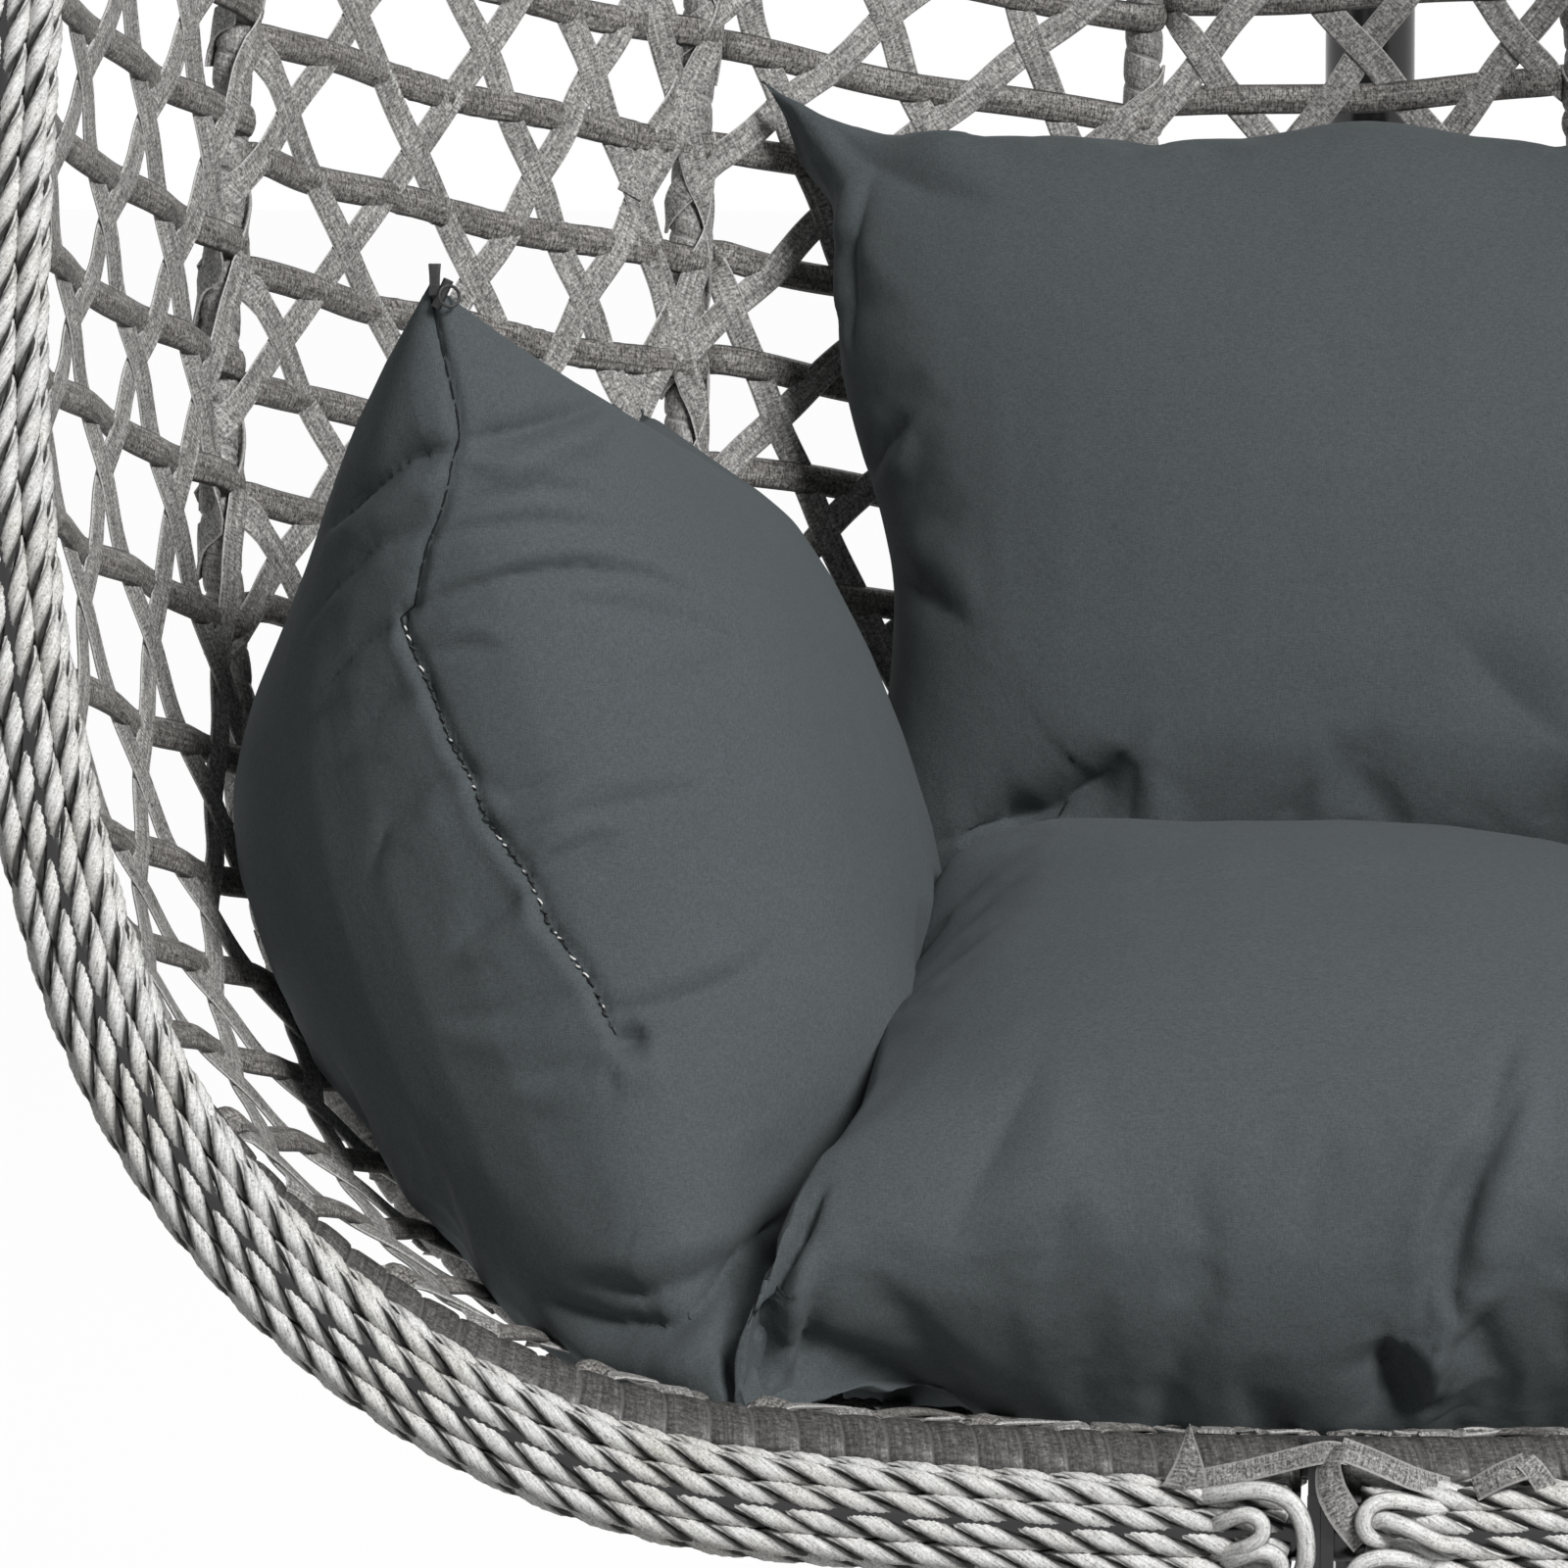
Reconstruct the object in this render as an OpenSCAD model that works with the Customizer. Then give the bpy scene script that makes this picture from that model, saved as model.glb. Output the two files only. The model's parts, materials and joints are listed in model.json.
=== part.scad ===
// Hanging egg chair: a woven basket with cushions, hung by a spring and a snap hook
// from a bowed post on a round base. Millimetres, +Z up, the open front faces -Y.
// Origin: on the floor, in the middle of the whole, front to back and side to side.

/* [Basket] */
// Width of the basket between the middles of the braided rim
basket_w = 1038; // [990:2:1060]
// Height of the basket between the middles of the braided rim
basket_h = 1161; // [1081:2:1241]
// Depth of the woven skin behind the rim
basket_d = 655; // [600:5:700]
// Height of the widest place above the lowest point of the rim's middle
belly_h = 468; // [440:1:500]
// Radius of the flat bottom of the rim
bottom_r = 2526; // [2200:2:2800]
// Radius of the lower corners of the rim
corner_r = 312; // [290:2:330]
// Radius of the sides of the rim below the widest place
lower_side_r = 817; // [760:1:900]
// radius of the upper part of the sides
upper_side_r = 1947; // [1700:1:2200]
// Angle by which the rim leans back
lean = 9; // [7:0.5:12]
// Distance of the hanging point behind the rim
hang_back = 151; // [130:1:180]
// Height of the woven skin's lowest place above the rim's
skin_lift = 29; // [0:1:35]
// Outer radius of a rib tube
rib_r = 8; // [6:0.5:9]
// Outer radius of the rim tube
rim_r = 10; // [8:0.5:11]
// Wall of the rib and rim tubes
frame_wall = 1.2; // [0.8:0.1:2]
// Width of the braid on the rim
braid_w = 40; // [36:1:50]
// Thickness of the braid, front to back
braid_t = 26; // [24:1:32]
// Radius of the two hubs that the ribs meet in
hub_r = 75; // [66:1:90]
// Thickness of the woven skin
skin_t = 2.4; // [1.5:0.1:4]
// Thickness of one end flange of the rim
flange_t = 5; // [3:0.5:8]
// Direction of the outer rib, from the rim's plane
outer_rib_dir = 30.5; // [22:1:34]
// Direction of the middle rib, from the rim's plane
middle_rib_dir = 61; // [50:1:66]
// Direction of the centre rib, from the rim's plane
centre_rib_dir = 81; // [77:1:82]

/* [Cushions] */
// Width of the seat cushion
seat_w = 500; // [440:5:510]
// Depth of the seat cushion
seat_d = 520; // [460:5:540]
// Height of the crown of the seat cushion above its seam
seat_crown = 215; // [180:5:230]
// Width of the back cushion
back_w = 515; // [440:5:520]
// Height of the back cushion
back_h = 450; // [400:5:480]
// Thickness of the back cushion
back_t = 190; // [150:5:210]
// Length of the edge of an arm cushion
arm_edge = 455; // [420:5:465]
// Crown of an arm cushion above its seam, on the sitter's side
arm_in = 100; // [80:5:110]
// Crown of an arm cushion on the weave's side
arm_out = 165; // [120:5:170]
// Length of a zip pull
zip_l = 12; // [8:1:24]

/* [Stand] */
// Height of the stand
stand_h = 1950; // [1920:5:2050]
// Outer radius of the post tube
post_r = 21; // [19:0.5:24]
// Wall of the post tube
post_wall = 2; // [1.2:0.1:3]
// Distance of the post behind the hook at its widest bow
post_back = 600; // [570:5:680]
// Radius of the arm's bend
arm_bend_r = 450; // [380:5:500]
// Height of the joint of the two post tubes
joint_z = 900; // [800:5:1000]
// Length of the sleeve inside the post joint
sleeve_l = 120; // [80:5:160]
// Distance of the foot of the post's bow behind the hook
foot_back = 485; // [470:1:500]
// Radius of the base ring, to the middle of its tube
ring_r = 480; // [460:5:540]
// Outer radius of the base tubes
base_r = 19; // [16:0.5:22]
// Wall of the base tubes
base_wall = 2; // [1.2:0.1:3]
// Height of the rubber feet under the tubes
foot_h = 8; // [5:1:14]
// Depth of the post in its socket
socket_l = 105; // [80:5:130]
// Wall of the socket
socket_wall = 3.5; // [2.5:0.5:5]
// Length of the arm past the hook
arm_past = 45; // [30:1:80]

/* [Hanger] */
// Radius of the eye bolt's ring, to the middle of its rod
eye_ring_r = 17; // [15:0.5:20]
// Radius of the eye bolt's rod
eye_rod_r = 5; // [4:0.5:6]
// Length of the snap hook, between the middles of its bows
hook_l = 70; // [60:1:90]
// Radius of a bow of the snap hook, to the middle of its rod
hook_bow_r = 13; // [12:0.5:16]
// Radius of the snap hook's rod
hook_rod_r = 5; // [4:0.5:5.5]
// Radius of the ring on the spring's top fitting
top_ring_r = 12; // [11.5:0.5:15]
// Radius of the rod of that ring
top_rod_r = 4; // [3:0.5:4.5]
// Radius of the spring, to the middle of its wire
spring_r = 18.25; // [16:0.25:24]
// Diameter of the spring's wire
spring_wire = 5.5; // [4:0.5:6.5]
// Number of curls of the spring
spring_curls = 20; // [12:1:26]
// Gap between two curls at rest
spring_gap = 0.7; // [0.6:0.1:1.5]
// Radius of the swivel stem
stem_r = 5; // [4:0.5:7]
// Length of the swivel stem between the bottom fitting and the lock nut
stem_free = 12; // [6:1:40]

/* [Hidden] */
$fn = 48;

near = 0.3;       // gap between pieces that rest on each other
run_fit = 0.05;   // radial gap of a running fit
slip_fit = 0.1;   // radial gap of a tube in a tube
bolt_r = 4;       // shank of the M8 bolts
bolt_gap = 0.2;   // radial gap of a bolt in its hole
head_r = 7.2;     // bolt heads and nuts, across corners
head_h = 5;

grey_strip = "#77756f";
pale_braid = "#bfc0bf";
slate = "#454d50";
black = "#1c1d1f";
steel = "#a8abad";

// ---- shape of the basket: five tangent arcs in each upright plane through the axis ----

half_w = basket_w / 2;
depth_ratio = basket_d / half_w;
rise = basket_h - belly_h;

// How much wider than the rim the basket is in direction a, measured from the rim's plane
function stretch(a) = 1 / sqrt(pow(cos(a), 2) + pow(sin(a) / depth_ratio, 2));

// The arcs, from the bottom up, of the plane that is k times as wide as the rim:
// [centre across, centre height, radius, first angle, last angle], with the lowest place at lift
function arcs(k, lift = 0) =
    let (
        w = half_w * k,
        belly = belly_h - lift,
        r1 = bottom_r * k * k,
        r2 = corner_r * sqrt(k),
        r3 = lower_side_r / k,
        a = w - r3,
        b = r3 - r2,
        c = belly - r1,
        s = pow(r1 - r2, 2) - a * a - b * b - c * c,
        p = 2 * a * b,
        q = -2 * b * c,
        turn = atan2(q, p) - acos(s / norm([p, q])),
        corner = [a + b * cos(turn), belly - b * sin(turn)],
        low = atan2(corner.x, r1 - corner.y),
        r4 = upper_side_r / k,
        d = w - r4,
        r5 = (r4 * r4 - d * d - rise * rise) / (2 * (r4 - rise)),
        high = atan2(basket_h - r5 - belly_h, -d)
    )
    [
        [0, r1 + lift, r1, -90, low - 90],
        [corner.x, corner.y + lift, r2, low - 90, -turn],
        [a, belly_h, r3, -turn, 0],
        [d, belly_h, r4, 0, high],
        [0, basket_h - r5, r5, high, 90]
    ];

// The arcs without the stretches nearer than r to the axis
function open_arcs(k, r, lift = 0) =
    let (all = arcs(k, lift))
    [
        [all[0][0], all[0][1], all[0][2], asin(r / all[0][2]) - 90, all[0][4]],
        all[1], all[2], all[3],
        [all[4][0], all[4][1], all[4][2], all[4][3], 90 - asin(r / all[4][2])]
    ];

// A point of an arc, a share f along it and d inside it
function arc_point(arc, f, d) =
    let (angle = arc[3] + (arc[4] - arc[3]) * f)
    [arc[0] + (arc[2] - d) * cos(angle), arc[1] + (arc[2] - d) * sin(angle)];

// Half width of the skin, at height z, of the plane k times as wide as the rim, d inside its line
function half_at(k, z, d) =
    let (
        list = arcs(k, skin_lift),
        at = [for (arc = list) let (
            r = arc[2] - d,
            h = z - arc[1],
            lo = r * sin(arc[3]),
            hi = r * sin(arc[4])
        ) if (h >= lo - 0.001 && h <= hi + 0.001) arc[0] + sqrt(max(0, r * r - h * h))]
    )
    len(at) > 0 ? max(at) : 0;

// ---- where the basket hangs ----

// The upright line through the hook is in front of the middle, because the post bows out behind
axis_y = (ring_r + base_r - post_back - post_r) / 2;

module at_axis() {
    translate([0, axis_y, 0])
        children();
}

rim_in = braid_w / 2;
hoop_back = braid_t / 2 + near + rib_r;
arm_z = stand_h - post_r;
eye_collar_h = 3;
eye_z = arm_z - post_r - eye_collar_h - eye_rod_r - eye_ring_r;
hook_top_z = eye_z - eye_ring_r + eye_rod_r + near + hook_rod_r;
hook_bottom_z = hook_top_z - hook_l;
side_axis_z = hook_bottom_z + hook_rod_r + near + top_rod_r;
top_ring_z = side_axis_z - top_ring_r;
fitting_neck = 8;
fitting_flange = 6;
fitting_plug = 16;
spring_top_z = top_ring_z - top_ring_r - fitting_neck - fitting_flange;
spring_pitch = spring_wire + spring_gap;
spring_l = spring_curls * spring_pitch + spring_wire;
spring_bottom_z = spring_top_z - spring_l;
bottom_flange = 8;
nut_h = 8;
stem_nut_z = spring_bottom_z - bottom_flange - stem_free - nut_h;
boss_h = 34;
boss_r = 16;
hang_z = stem_nut_z - boss_h;
hub_t = 2 * rib_r;

module in_basket() {
    translate([0, 0, hang_z])
        rotate([-lean, 0, 0])
            translate([0, -hang_back, -basket_h - rib_r])
                children();
}

// Stretches of one tube lap by join_l, and every second one is thinner by join_step
join_l = 1;
join_step = 0.05;
stand_step = 0.12;
function lapped(arc) =
    let (more = join_l / arc[2] * 180 / PI)
    [arc[0], arc[1], arc[2], arc[3] - more, arc[4] + more];

// A bar with the child's section along tangent arcs in the XZ plane;
// the arcs at odd places, counted from first, are the thinner ones
module along_arcs(list, first = 0, step = join_step) {
    for (i = [0:len(list) - 1])
        let (odd = (i + first) % 2, arc = odd == 1 ? lapped(list[i]) : list[i])
        translate([arc[0], 0, arc[1]])
            rotate([90, 0, 0])
                rotate([0, 0, arc[3]])
                    rotate_extrude(angle = arc[4] - arc[3], $fn = 180)
                        translate([arc[2], 0]) {
                            $thin = odd * step;
                            children();
                        }
}

$thin = 0;
module ring_section(r, wall) {
    difference() {
        circle(r - $thin);
        circle(r - wall - $thin);
    }
}

module round_tube(r, wall, l) {
    linear_extrude(l)
        ring_section(r, wall);
}

// ---- base ----

ring_z = foot_h + base_r;
stub_l = 60;
stub_r = base_r - base_wall - slip_fit;
ring_bolt_x = stub_l / 2 + base_r;

module bolt_x(l) {
    rotate([0, 90, 0]) {
        cylinder(r = bolt_r, h = l);
        translate([0, 0, -head_h])
            cylinder(r = head_r, h = head_h, $fn = 6);
    }
}

module bolt_z(l) {
    translate([0, 0, -l])
        cylinder(r = bolt_r, h = l);
    cylinder(r = head_r, h = head_h, $fn = 6);
}

module nut(r, gap, h) {
    difference() {
        cylinder(r = r, h = h, $fn = 6);
        translate([0, 0, -1])
            cylinder(r = bolt_r + gap, h = h + 2);
    }
}

// The half of the base ring at +X: a bent tube between two straight ends
module half_ring() {
    difference() {
        union() {
            translate([0, 0, ring_z])
                for (side = [-1, 1])
                    translate([base_r + near, side * ring_r, 0])
                        rotate([0, 90, 0])
                            round_tube(base_r, base_wall, stub_l);
            translate([base_r + near + stub_l, 0, ring_z])
                rotate([90, 0, 0])
                    along_arcs([[0, 0, ring_r, -90, 90]], 1, stand_step)
                        ring_section(base_r, base_wall);
        }
        for (side = [-1, 1])
            translate([ring_bolt_x, side * ring_r, 0])
                cylinder(r = bolt_r + bolt_gap, h = 3 * ring_z);
    }
}

module base_ring_right() {
    color(black) at_axis()
        half_ring();
}

module base_ring_left() {
    color(black) at_axis()
        mirror([1, 0, 0])
            half_ring();
}

// The bar from front to back, with a cross tube and two stubs at each end
module base_bar() {
    color(black) at_axis()
        difference() {
            union() {
                translate([0, -ring_r, ring_z])
                    rotate([-90, 0, 0])
                        round_tube(base_r - join_step, base_wall, 2 * ring_r);
                for (side = [-1, 1])
                    translate([-base_r, side * ring_r, ring_z])
                        rotate([0, 90, 0])
                            cylinder(r = base_r, h = 2 * base_r);
                for (side = [-1, 1])
                    translate([-stub_l, side * ring_r, ring_z])
                        rotate([0, 90, 0])
                            cylinder(r = stub_r, h = 2 * stub_l);
            }
            for (side = [-1, 1])
                for (end = [-1, 1])
                    translate([end * ring_bolt_x, side * ring_r, 0])
                        cylinder(r = bolt_r + bolt_gap, h = 3 * ring_z);
        }
}

foot_places = [[1, 0], [1, 52], [1, -52], [-1, 0], [-1, 52], [-1, -52]];
foot_r = 16;
foot_grip = 7;

module base_feet() {
    color(black) at_axis()
        for (place = foot_places)
            scale_side(place[0])
                translate([base_r + near + stub_l, 0, 0])
                    rotate([0, 0, place[1]])
                        difference() {
                            translate([ring_r, 0, 0])
                                cylinder(r = foot_r, h = foot_h + foot_grip);
                            translate([0, 0, ring_z])
                                rotate_extrude($fn = 180)
                                    translate([ring_r, 0])
                                        circle(base_r + slip_fit);
                        }
}

module scale_side(side) {
    if (side > 0)
        children();
    else
        mirror([1, 0, 0])
            children();
}

module base_bolts() {
    color(steel) at_axis()
        for (side = [-1, 1])
            for (end = [-1, 1])
                translate([end * ring_bolt_x, side * ring_r, ring_z + base_r])
                    bolt_z(2 * base_r + head_h);
}

module base_nuts() {
    color(steel) at_axis()
        for (side = [-1, 1])
            for (end = [-1, 1])
                translate([end * ring_bolt_x, side * ring_r, ring_z - base_r - head_h])
                    nut(head_r, slip_fit, head_h);
}

// ---- post ----

straight = sleeve_l / 2;
bow_foot_z = foot_h + 2 * base_r + 124;
bow_rise = joint_z - straight - bow_foot_z;
bow_out = post_back - foot_back;
low_r = (bow_rise * bow_rise + bow_out * bow_out) / (2 * bow_out);
foot_lean = asin(bow_rise / low_r);
foot_straight = socket_l + 5;

arm_centre_z = arm_z - arm_bend_r;
high_rise = arm_centre_z - joint_z - straight;
high_turn = 2 * atan2(post_back - arm_bend_r, high_rise);
high_r = high_rise / sin(high_turn) + arm_bend_r;

module in_post_plane(y, z) {
    translate([0, y, z])
        rotate([90, 0, 90])
            children();
}

module post_bends(list) {
    rotate([0, 0, 90])
        along_arcs(list, 1, stand_step)
            ring_section(post_r, post_wall);
}

// Places the child at the top of the post's straight foot, with +Z up along it
module at_foot() {
    translate([0, foot_back, bow_foot_z])
        rotate([-foot_lean, 0, 0])
            children();
}

module post_lower() {
    color(black) at_axis()
        difference() {
            union() {
                at_foot()
                    translate([0, 0, -foot_straight])
                        round_tube(post_r, post_wall, foot_straight);
                post_bends([[post_back - low_r, joint_z - straight, low_r, -foot_lean, 0]]);
                translate([0, post_back, joint_z - straight])
                    round_tube(post_r, post_wall, straight);
            }
            post_holes();
        }
}

joint_bolt_step = sleeve_l / 4;

// The bolt holes through the post: one in the socket and one on each side of the joint
module post_holes() {
    at_foot()
        translate([-2 * post_r, 0, -foot_straight + socket_l / 2])
            rotate([0, 90, 0])
                cylinder(r = bolt_r + bolt_gap, h = 4 * post_r);
    for (side = [-1, 1])
        translate([-2 * post_r, post_back, joint_z + side * joint_bolt_step])
            rotate([0, 90, 0])
                cylinder(r = bolt_r + bolt_gap, h = 4 * post_r);
}

module post_upper() {
    color(black) at_axis()
        difference() {
            union() {
                translate([0, post_back, joint_z])
                    round_tube(post_r, post_wall, straight);
                post_bends([
                    [post_back - high_r, joint_z + straight, high_r, 0, high_turn],
                    [0, arm_centre_z, arm_bend_r, high_turn, 90]
                ]);
                translate([0, -arm_past, arm_z])
                    rotate([-90, 0, 0])
                        round_tube(post_r - stand_step, post_wall, arm_past + join_l);
            }
            post_holes();
            translate([0, 0, arm_z - 2 * post_r])
                cylinder(r = eye_rod_r + bolt_gap, h = 4 * post_r);
        }
}

module post_sleeve() {
    color(steel) at_axis()
        difference() {
            translate([0, post_back, joint_z - straight + 2 * join_l])
                round_tube(post_r - post_wall - slip_fit, post_wall, sleeve_l - 4 * join_l);
            post_holes();
        }
}

socket_r = post_r + slip_fit + socket_wall;
gusset_t = 6;

module post_socket() {
    color(black) at_axis()
        difference() {
            union() {
                at_foot()
                    translate([0, 0, -foot_straight - 40])
                        cylinder(r = socket_r, h = socket_l + 40);
                translate([-gusset_t / 2, foot_back - 150, ring_z])
                    cube([gusset_t, 110, 70]);
            }
            at_foot()
                translate([0, 0, -foot_straight - 0.2])
                    cylinder(r = post_r + slip_fit, h = 3 * socket_l);
            translate([0, -2 * ring_r, ring_z])
                rotate([-90, 0, 0])
                    cylinder(r = base_r + run_fit, h = 4 * ring_r);
            translate([-ring_r, ring_r, ring_z])
                rotate([0, 90, 0])
                    cylinder(r = base_r + run_fit, h = 2 * ring_r);
            translate([-ring_r, 0, ring_z - 100])
                cube([2 * ring_r, 2 * ring_r, 100]);
            post_holes();
        }
}

module post_bolts() {
    color(steel) at_axis() {
        at_foot()
            translate([-socket_r, 0, -foot_straight + socket_l / 2])
                bolt_x(2 * socket_r + head_h);
        for (side = [-1, 1])
            translate([-post_r, post_back, joint_z + side * joint_bolt_step])
                bolt_x(2 * post_r + head_h);
    }
}

module post_nuts() {
    color(steel) at_axis() {
        at_foot()
            translate([socket_r, 0, -foot_straight + socket_l / 2])
                rotate([0, 90, 0])
                    nut(head_r, slip_fit, head_h);
        for (side = [-1, 1])
            translate([post_r, post_back, joint_z + side * joint_bolt_step])
                rotate([0, 90, 0])
                    nut(head_r, slip_fit, head_h);
    }
}

cap_t = 3;
cap_plug = 15;

module arm_cap() {
    color(black) at_axis()
        translate([0, -arm_past, arm_z])
            rotate([90, 0, 0]) {
                cylinder(r = post_r, h = cap_t);
                translate([0, 0, -cap_plug])
                    cylinder(r = post_r - post_wall - stand_step - slip_fit, h = cap_plug);
            }
}

// ---- hanger ----

saddle_h = 5;
saddle_r = 13;

// A ring in the plane of the post
module ring_yz(z, r, rod) {
    in_post_plane(0, z)
        rotate_extrude($fn = 96)
            translate([r, 0])
                circle(rod);
}

module arm_outside() {
    translate([0, -2 * post_r, arm_z])
        rotate([-90, 0, 0])
            cylinder(r = post_r + run_fit, h = 4 * post_r);
}

module eye_bolt() {
    color(steel) at_axis() {
        ring_yz(eye_z, eye_ring_r, eye_rod_r);
        translate([0, 0, eye_z + eye_ring_r])
            cylinder(r = eye_rod_r, h = arm_z + post_r + saddle_h + nut_h + 3 - eye_z - eye_ring_r);
        difference() {
            translate([0, 0, eye_z + eye_ring_r])
                cylinder(r = 1.8 * eye_rod_r, h = post_r);
            arm_outside();
        }
    }
}

module eye_saddle() {
    color(steel) at_axis()
        difference() {
            translate([0, 0, arm_z])
                cylinder(r = saddle_r, h = post_r + saddle_h);
            arm_outside();
            translate([0, 0, arm_z - 1])
                cylinder(r = eye_rod_r + slip_fit, h = 2 * post_r);
        }
}

module eye_nut() {
    color(steel) at_axis()
        translate([0, 0, arm_z + post_r + saddle_h])
            difference() {
                cylinder(r = 1.9 * eye_rod_r, h = nut_h, $fn = 6);
                translate([0, 0, -1])
                    cylinder(r = eye_rod_r + slip_fit, h = nut_h + 2);
            }
}

gate_r = 4;
gate_pin_r = 1.5;
gate_pivot_z = hook_bottom_z + hook_bow_r + 12;
gate_l = hook_l - 2 * hook_bow_r - 14;
gate_gap = 0.7;
tongue_t = 3.4;
tongue_l = 7;

// The bow at one end of the snap hook, over the half circle between two angles
module hook_bow(z, from) {
    translate([0, 0, z])
        rotate([90, 0, 0])
            rotate([0, 0, from])
                rotate_extrude(angle = 180, $fn = 96)
                    translate([hook_bow_r, 0])
                        circle(hook_rod_r);
}

module snap_hook() {
    color(steel) at_axis()
        difference() {
            union() {
                hook_bow(hook_top_z - hook_bow_r, 0);
                hook_bow(hook_bottom_z + hook_bow_r, 180);
                translate([-hook_bow_r, 0, hook_bottom_z + hook_bow_r])
                    cylinder(r = hook_rod_r, h = hook_l - 2 * hook_bow_r);
                translate([hook_bow_r, 0, hook_bottom_z + hook_bow_r])
                    cylinder(r = hook_rod_r, h = gate_pivot_z - hook_bottom_z - hook_bow_r - tongue_l / 2);
                translate([hook_bow_r, 0, gate_pivot_z + gate_l + gate_gap])
                    cylinder(r = hook_rod_r, h = hook_top_z - hook_bow_r - gate_pivot_z - gate_l - gate_gap);
                translate([hook_bow_r - gate_r + 1, -tongue_t / 2, gate_pivot_z - tongue_l])
                    cube([2 * gate_r - 2, tongue_t, tongue_l + 2.5]);
            }
            translate([hook_bow_r, -2 * gate_r, gate_pivot_z])
                rotate([-90, 0, 0])
                    cylinder(r = gate_pin_r + run_fit, h = 4 * gate_r);
        }
}

module snap_gate() {
    color(steel) at_axis()
        difference() {
            translate([hook_bow_r, 0, gate_pivot_z - 2.4])
                cylinder(r = gate_r, h = gate_l + 2.4);
            translate([hook_bow_r - 2 * gate_r, -tongue_t / 2 - near, gate_pivot_z - 10])
                cube([4 * gate_r, tongue_t + 2 * near, 10 + 5]);
            translate([hook_bow_r, -2 * gate_r, gate_pivot_z])
                rotate([-90, 0, 0])
                    cylinder(r = gate_pin_r + run_fit, h = 4 * gate_r);
        }
}

module gate_pin() {
    color(steel) at_axis()
        translate([hook_bow_r, -gate_r + 0.4, gate_pivot_z])
            rotate([-90, 0, 0])
                cylinder(r = gate_pin_r, h = 2 * gate_r - 0.8);
}

curl_steps = 8;
wire_sides = 6;
wire_r = spring_wire / 2;
plug_r = spring_r * cos(180 / curl_steps) - wire_r - near;
flange_r = spring_r + wire_r;
neck_r = 7;

module spring_top_fitting() {
    color(steel) at_axis() {
        ring_yz(top_ring_z, top_ring_r, top_rod_r);
        translate([0, 0, spring_top_z + fitting_flange])
            cylinder(r = neck_r, h = fitting_neck + top_rod_r / 2);
        translate([0, 0, spring_top_z + near])
            cylinder(r = flange_r, h = fitting_flange);
        translate([0, 0, spring_top_z - fitting_plug])
            cylinder(r = plug_r, h = fitting_plug + 1);
    }
}

function spring_point(turns) =
    [
        spring_r * cos(360 * turns), spring_r * sin(360 * turns),
        spring_bottom_z + wire_r + turns * spring_pitch
    ];

// Way of the wire: a level run of one wire's width at each end, and the curls between
spring_path = concat(
    [spring_point(0) - [0, spring_wire, 0]],
    [for (i = [0:spring_curls * curl_steps]) spring_point(i / curl_steps)],
    [spring_point(spring_curls) + [0, spring_wire, 0]]
);

function unit(v) = v / norm(v);
function way(path, i) = unit(path[min(len(path) - 1, i + 1)] - path[max(0, i - 1)]);

// A closed tube of six sides along a path, with +Z as the up of every ring
function tube_points(path, r) = [
    for (i = [0:len(path) - 1])
        let (t = way(path, i), out = unit(cross(t, [0, 0, 1])), up = cross(out, t))
        for (j = [0:wire_sides - 1])
            path[i] + r * cos(360 * j / wire_sides) * out + r * sin(360 * j / wire_sides) * up
];
function tube_faces(rings) = concat(
    [for (i = [0:rings - 2]) for (j = [0:wire_sides - 1])
        let (a = i * wire_sides + j, b = i * wire_sides + (j + 1) % wire_sides)
        each [[a, b, a + wire_sides], [b, b + wire_sides, a + wire_sides]]],
    [for (j = [1:wire_sides - 2]) [0, j + 1, j]],
    [for (j = [1:wire_sides - 2]) let (o = (rings - 1) * wire_sides) [o, o + j, o + j + 1]]
);

// Least gap of the wire to itself, measured on the points of the path a curl apart
spring_clear = min([
    for (i = [1:len(spring_path) - 2 - curl_steps])
        norm(spring_path[i + curl_steps] - spring_path[i]) - spring_wire
]);
echo("least gap between curls of the suspension spring, mm", spring_clear);

module suspension_spring() {
    color(steel) at_axis()
        polyhedron(tube_points(spring_path, wire_r), tube_faces(len(spring_path)));
}

stem_head_r = 10;
stem_head_h = 6;
stem_in_boss = 24;

module spring_bottom_fitting() {
    color(steel) at_axis()
        difference() {
            union() {
                translate([0, 0, spring_bottom_z - bottom_flange - near])
                    cylinder(r = flange_r, h = bottom_flange);
                translate([0, 0, spring_bottom_z - 1])
                    cylinder(r = plug_r, h = fitting_plug + 1);
            }
            translate([0, 0, spring_bottom_z - 2 * bottom_flange])
                cylinder(r = stem_r + run_fit, h = 60);
        }
}

module swivel_stem() {
    color(steel) at_axis() {
        translate([0, 0, stem_nut_z - stem_in_boss])
            cylinder(r = stem_r, h = spring_bottom_z + fitting_plug + near - stem_nut_z + stem_in_boss);
        translate([0, 0, spring_bottom_z + fitting_plug + near])
            cylinder(r = stem_head_r, h = stem_head_h);
    }
}

module stem_nut() {
    color(steel) at_axis()
        translate([0, 0, stem_nut_z])
            difference() {
                cylinder(r = 1.9 * stem_r, h = nut_h, $fn = 6);
                translate([0, 0, -1])
                    cylinder(r = stem_r + slip_fit, h = nut_h + 2);
            }
}

// ---- hubs ----

// Part of a disc, with a straight front behind the hoop, in the height of the ribs' ends
module hub_plate(z) {
    translate([0, hoop_back, z - hub_t / 2])
        intersection() {
            cylinder(r = hub_r, h = hub_t);
            translate([-2 * hub_r, rib_r + near, -1])
                cube([4 * hub_r, 4 * hub_r, hub_t + 2]);
        }
}

tongue_w = 44;
tongue_top = 6;

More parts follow.
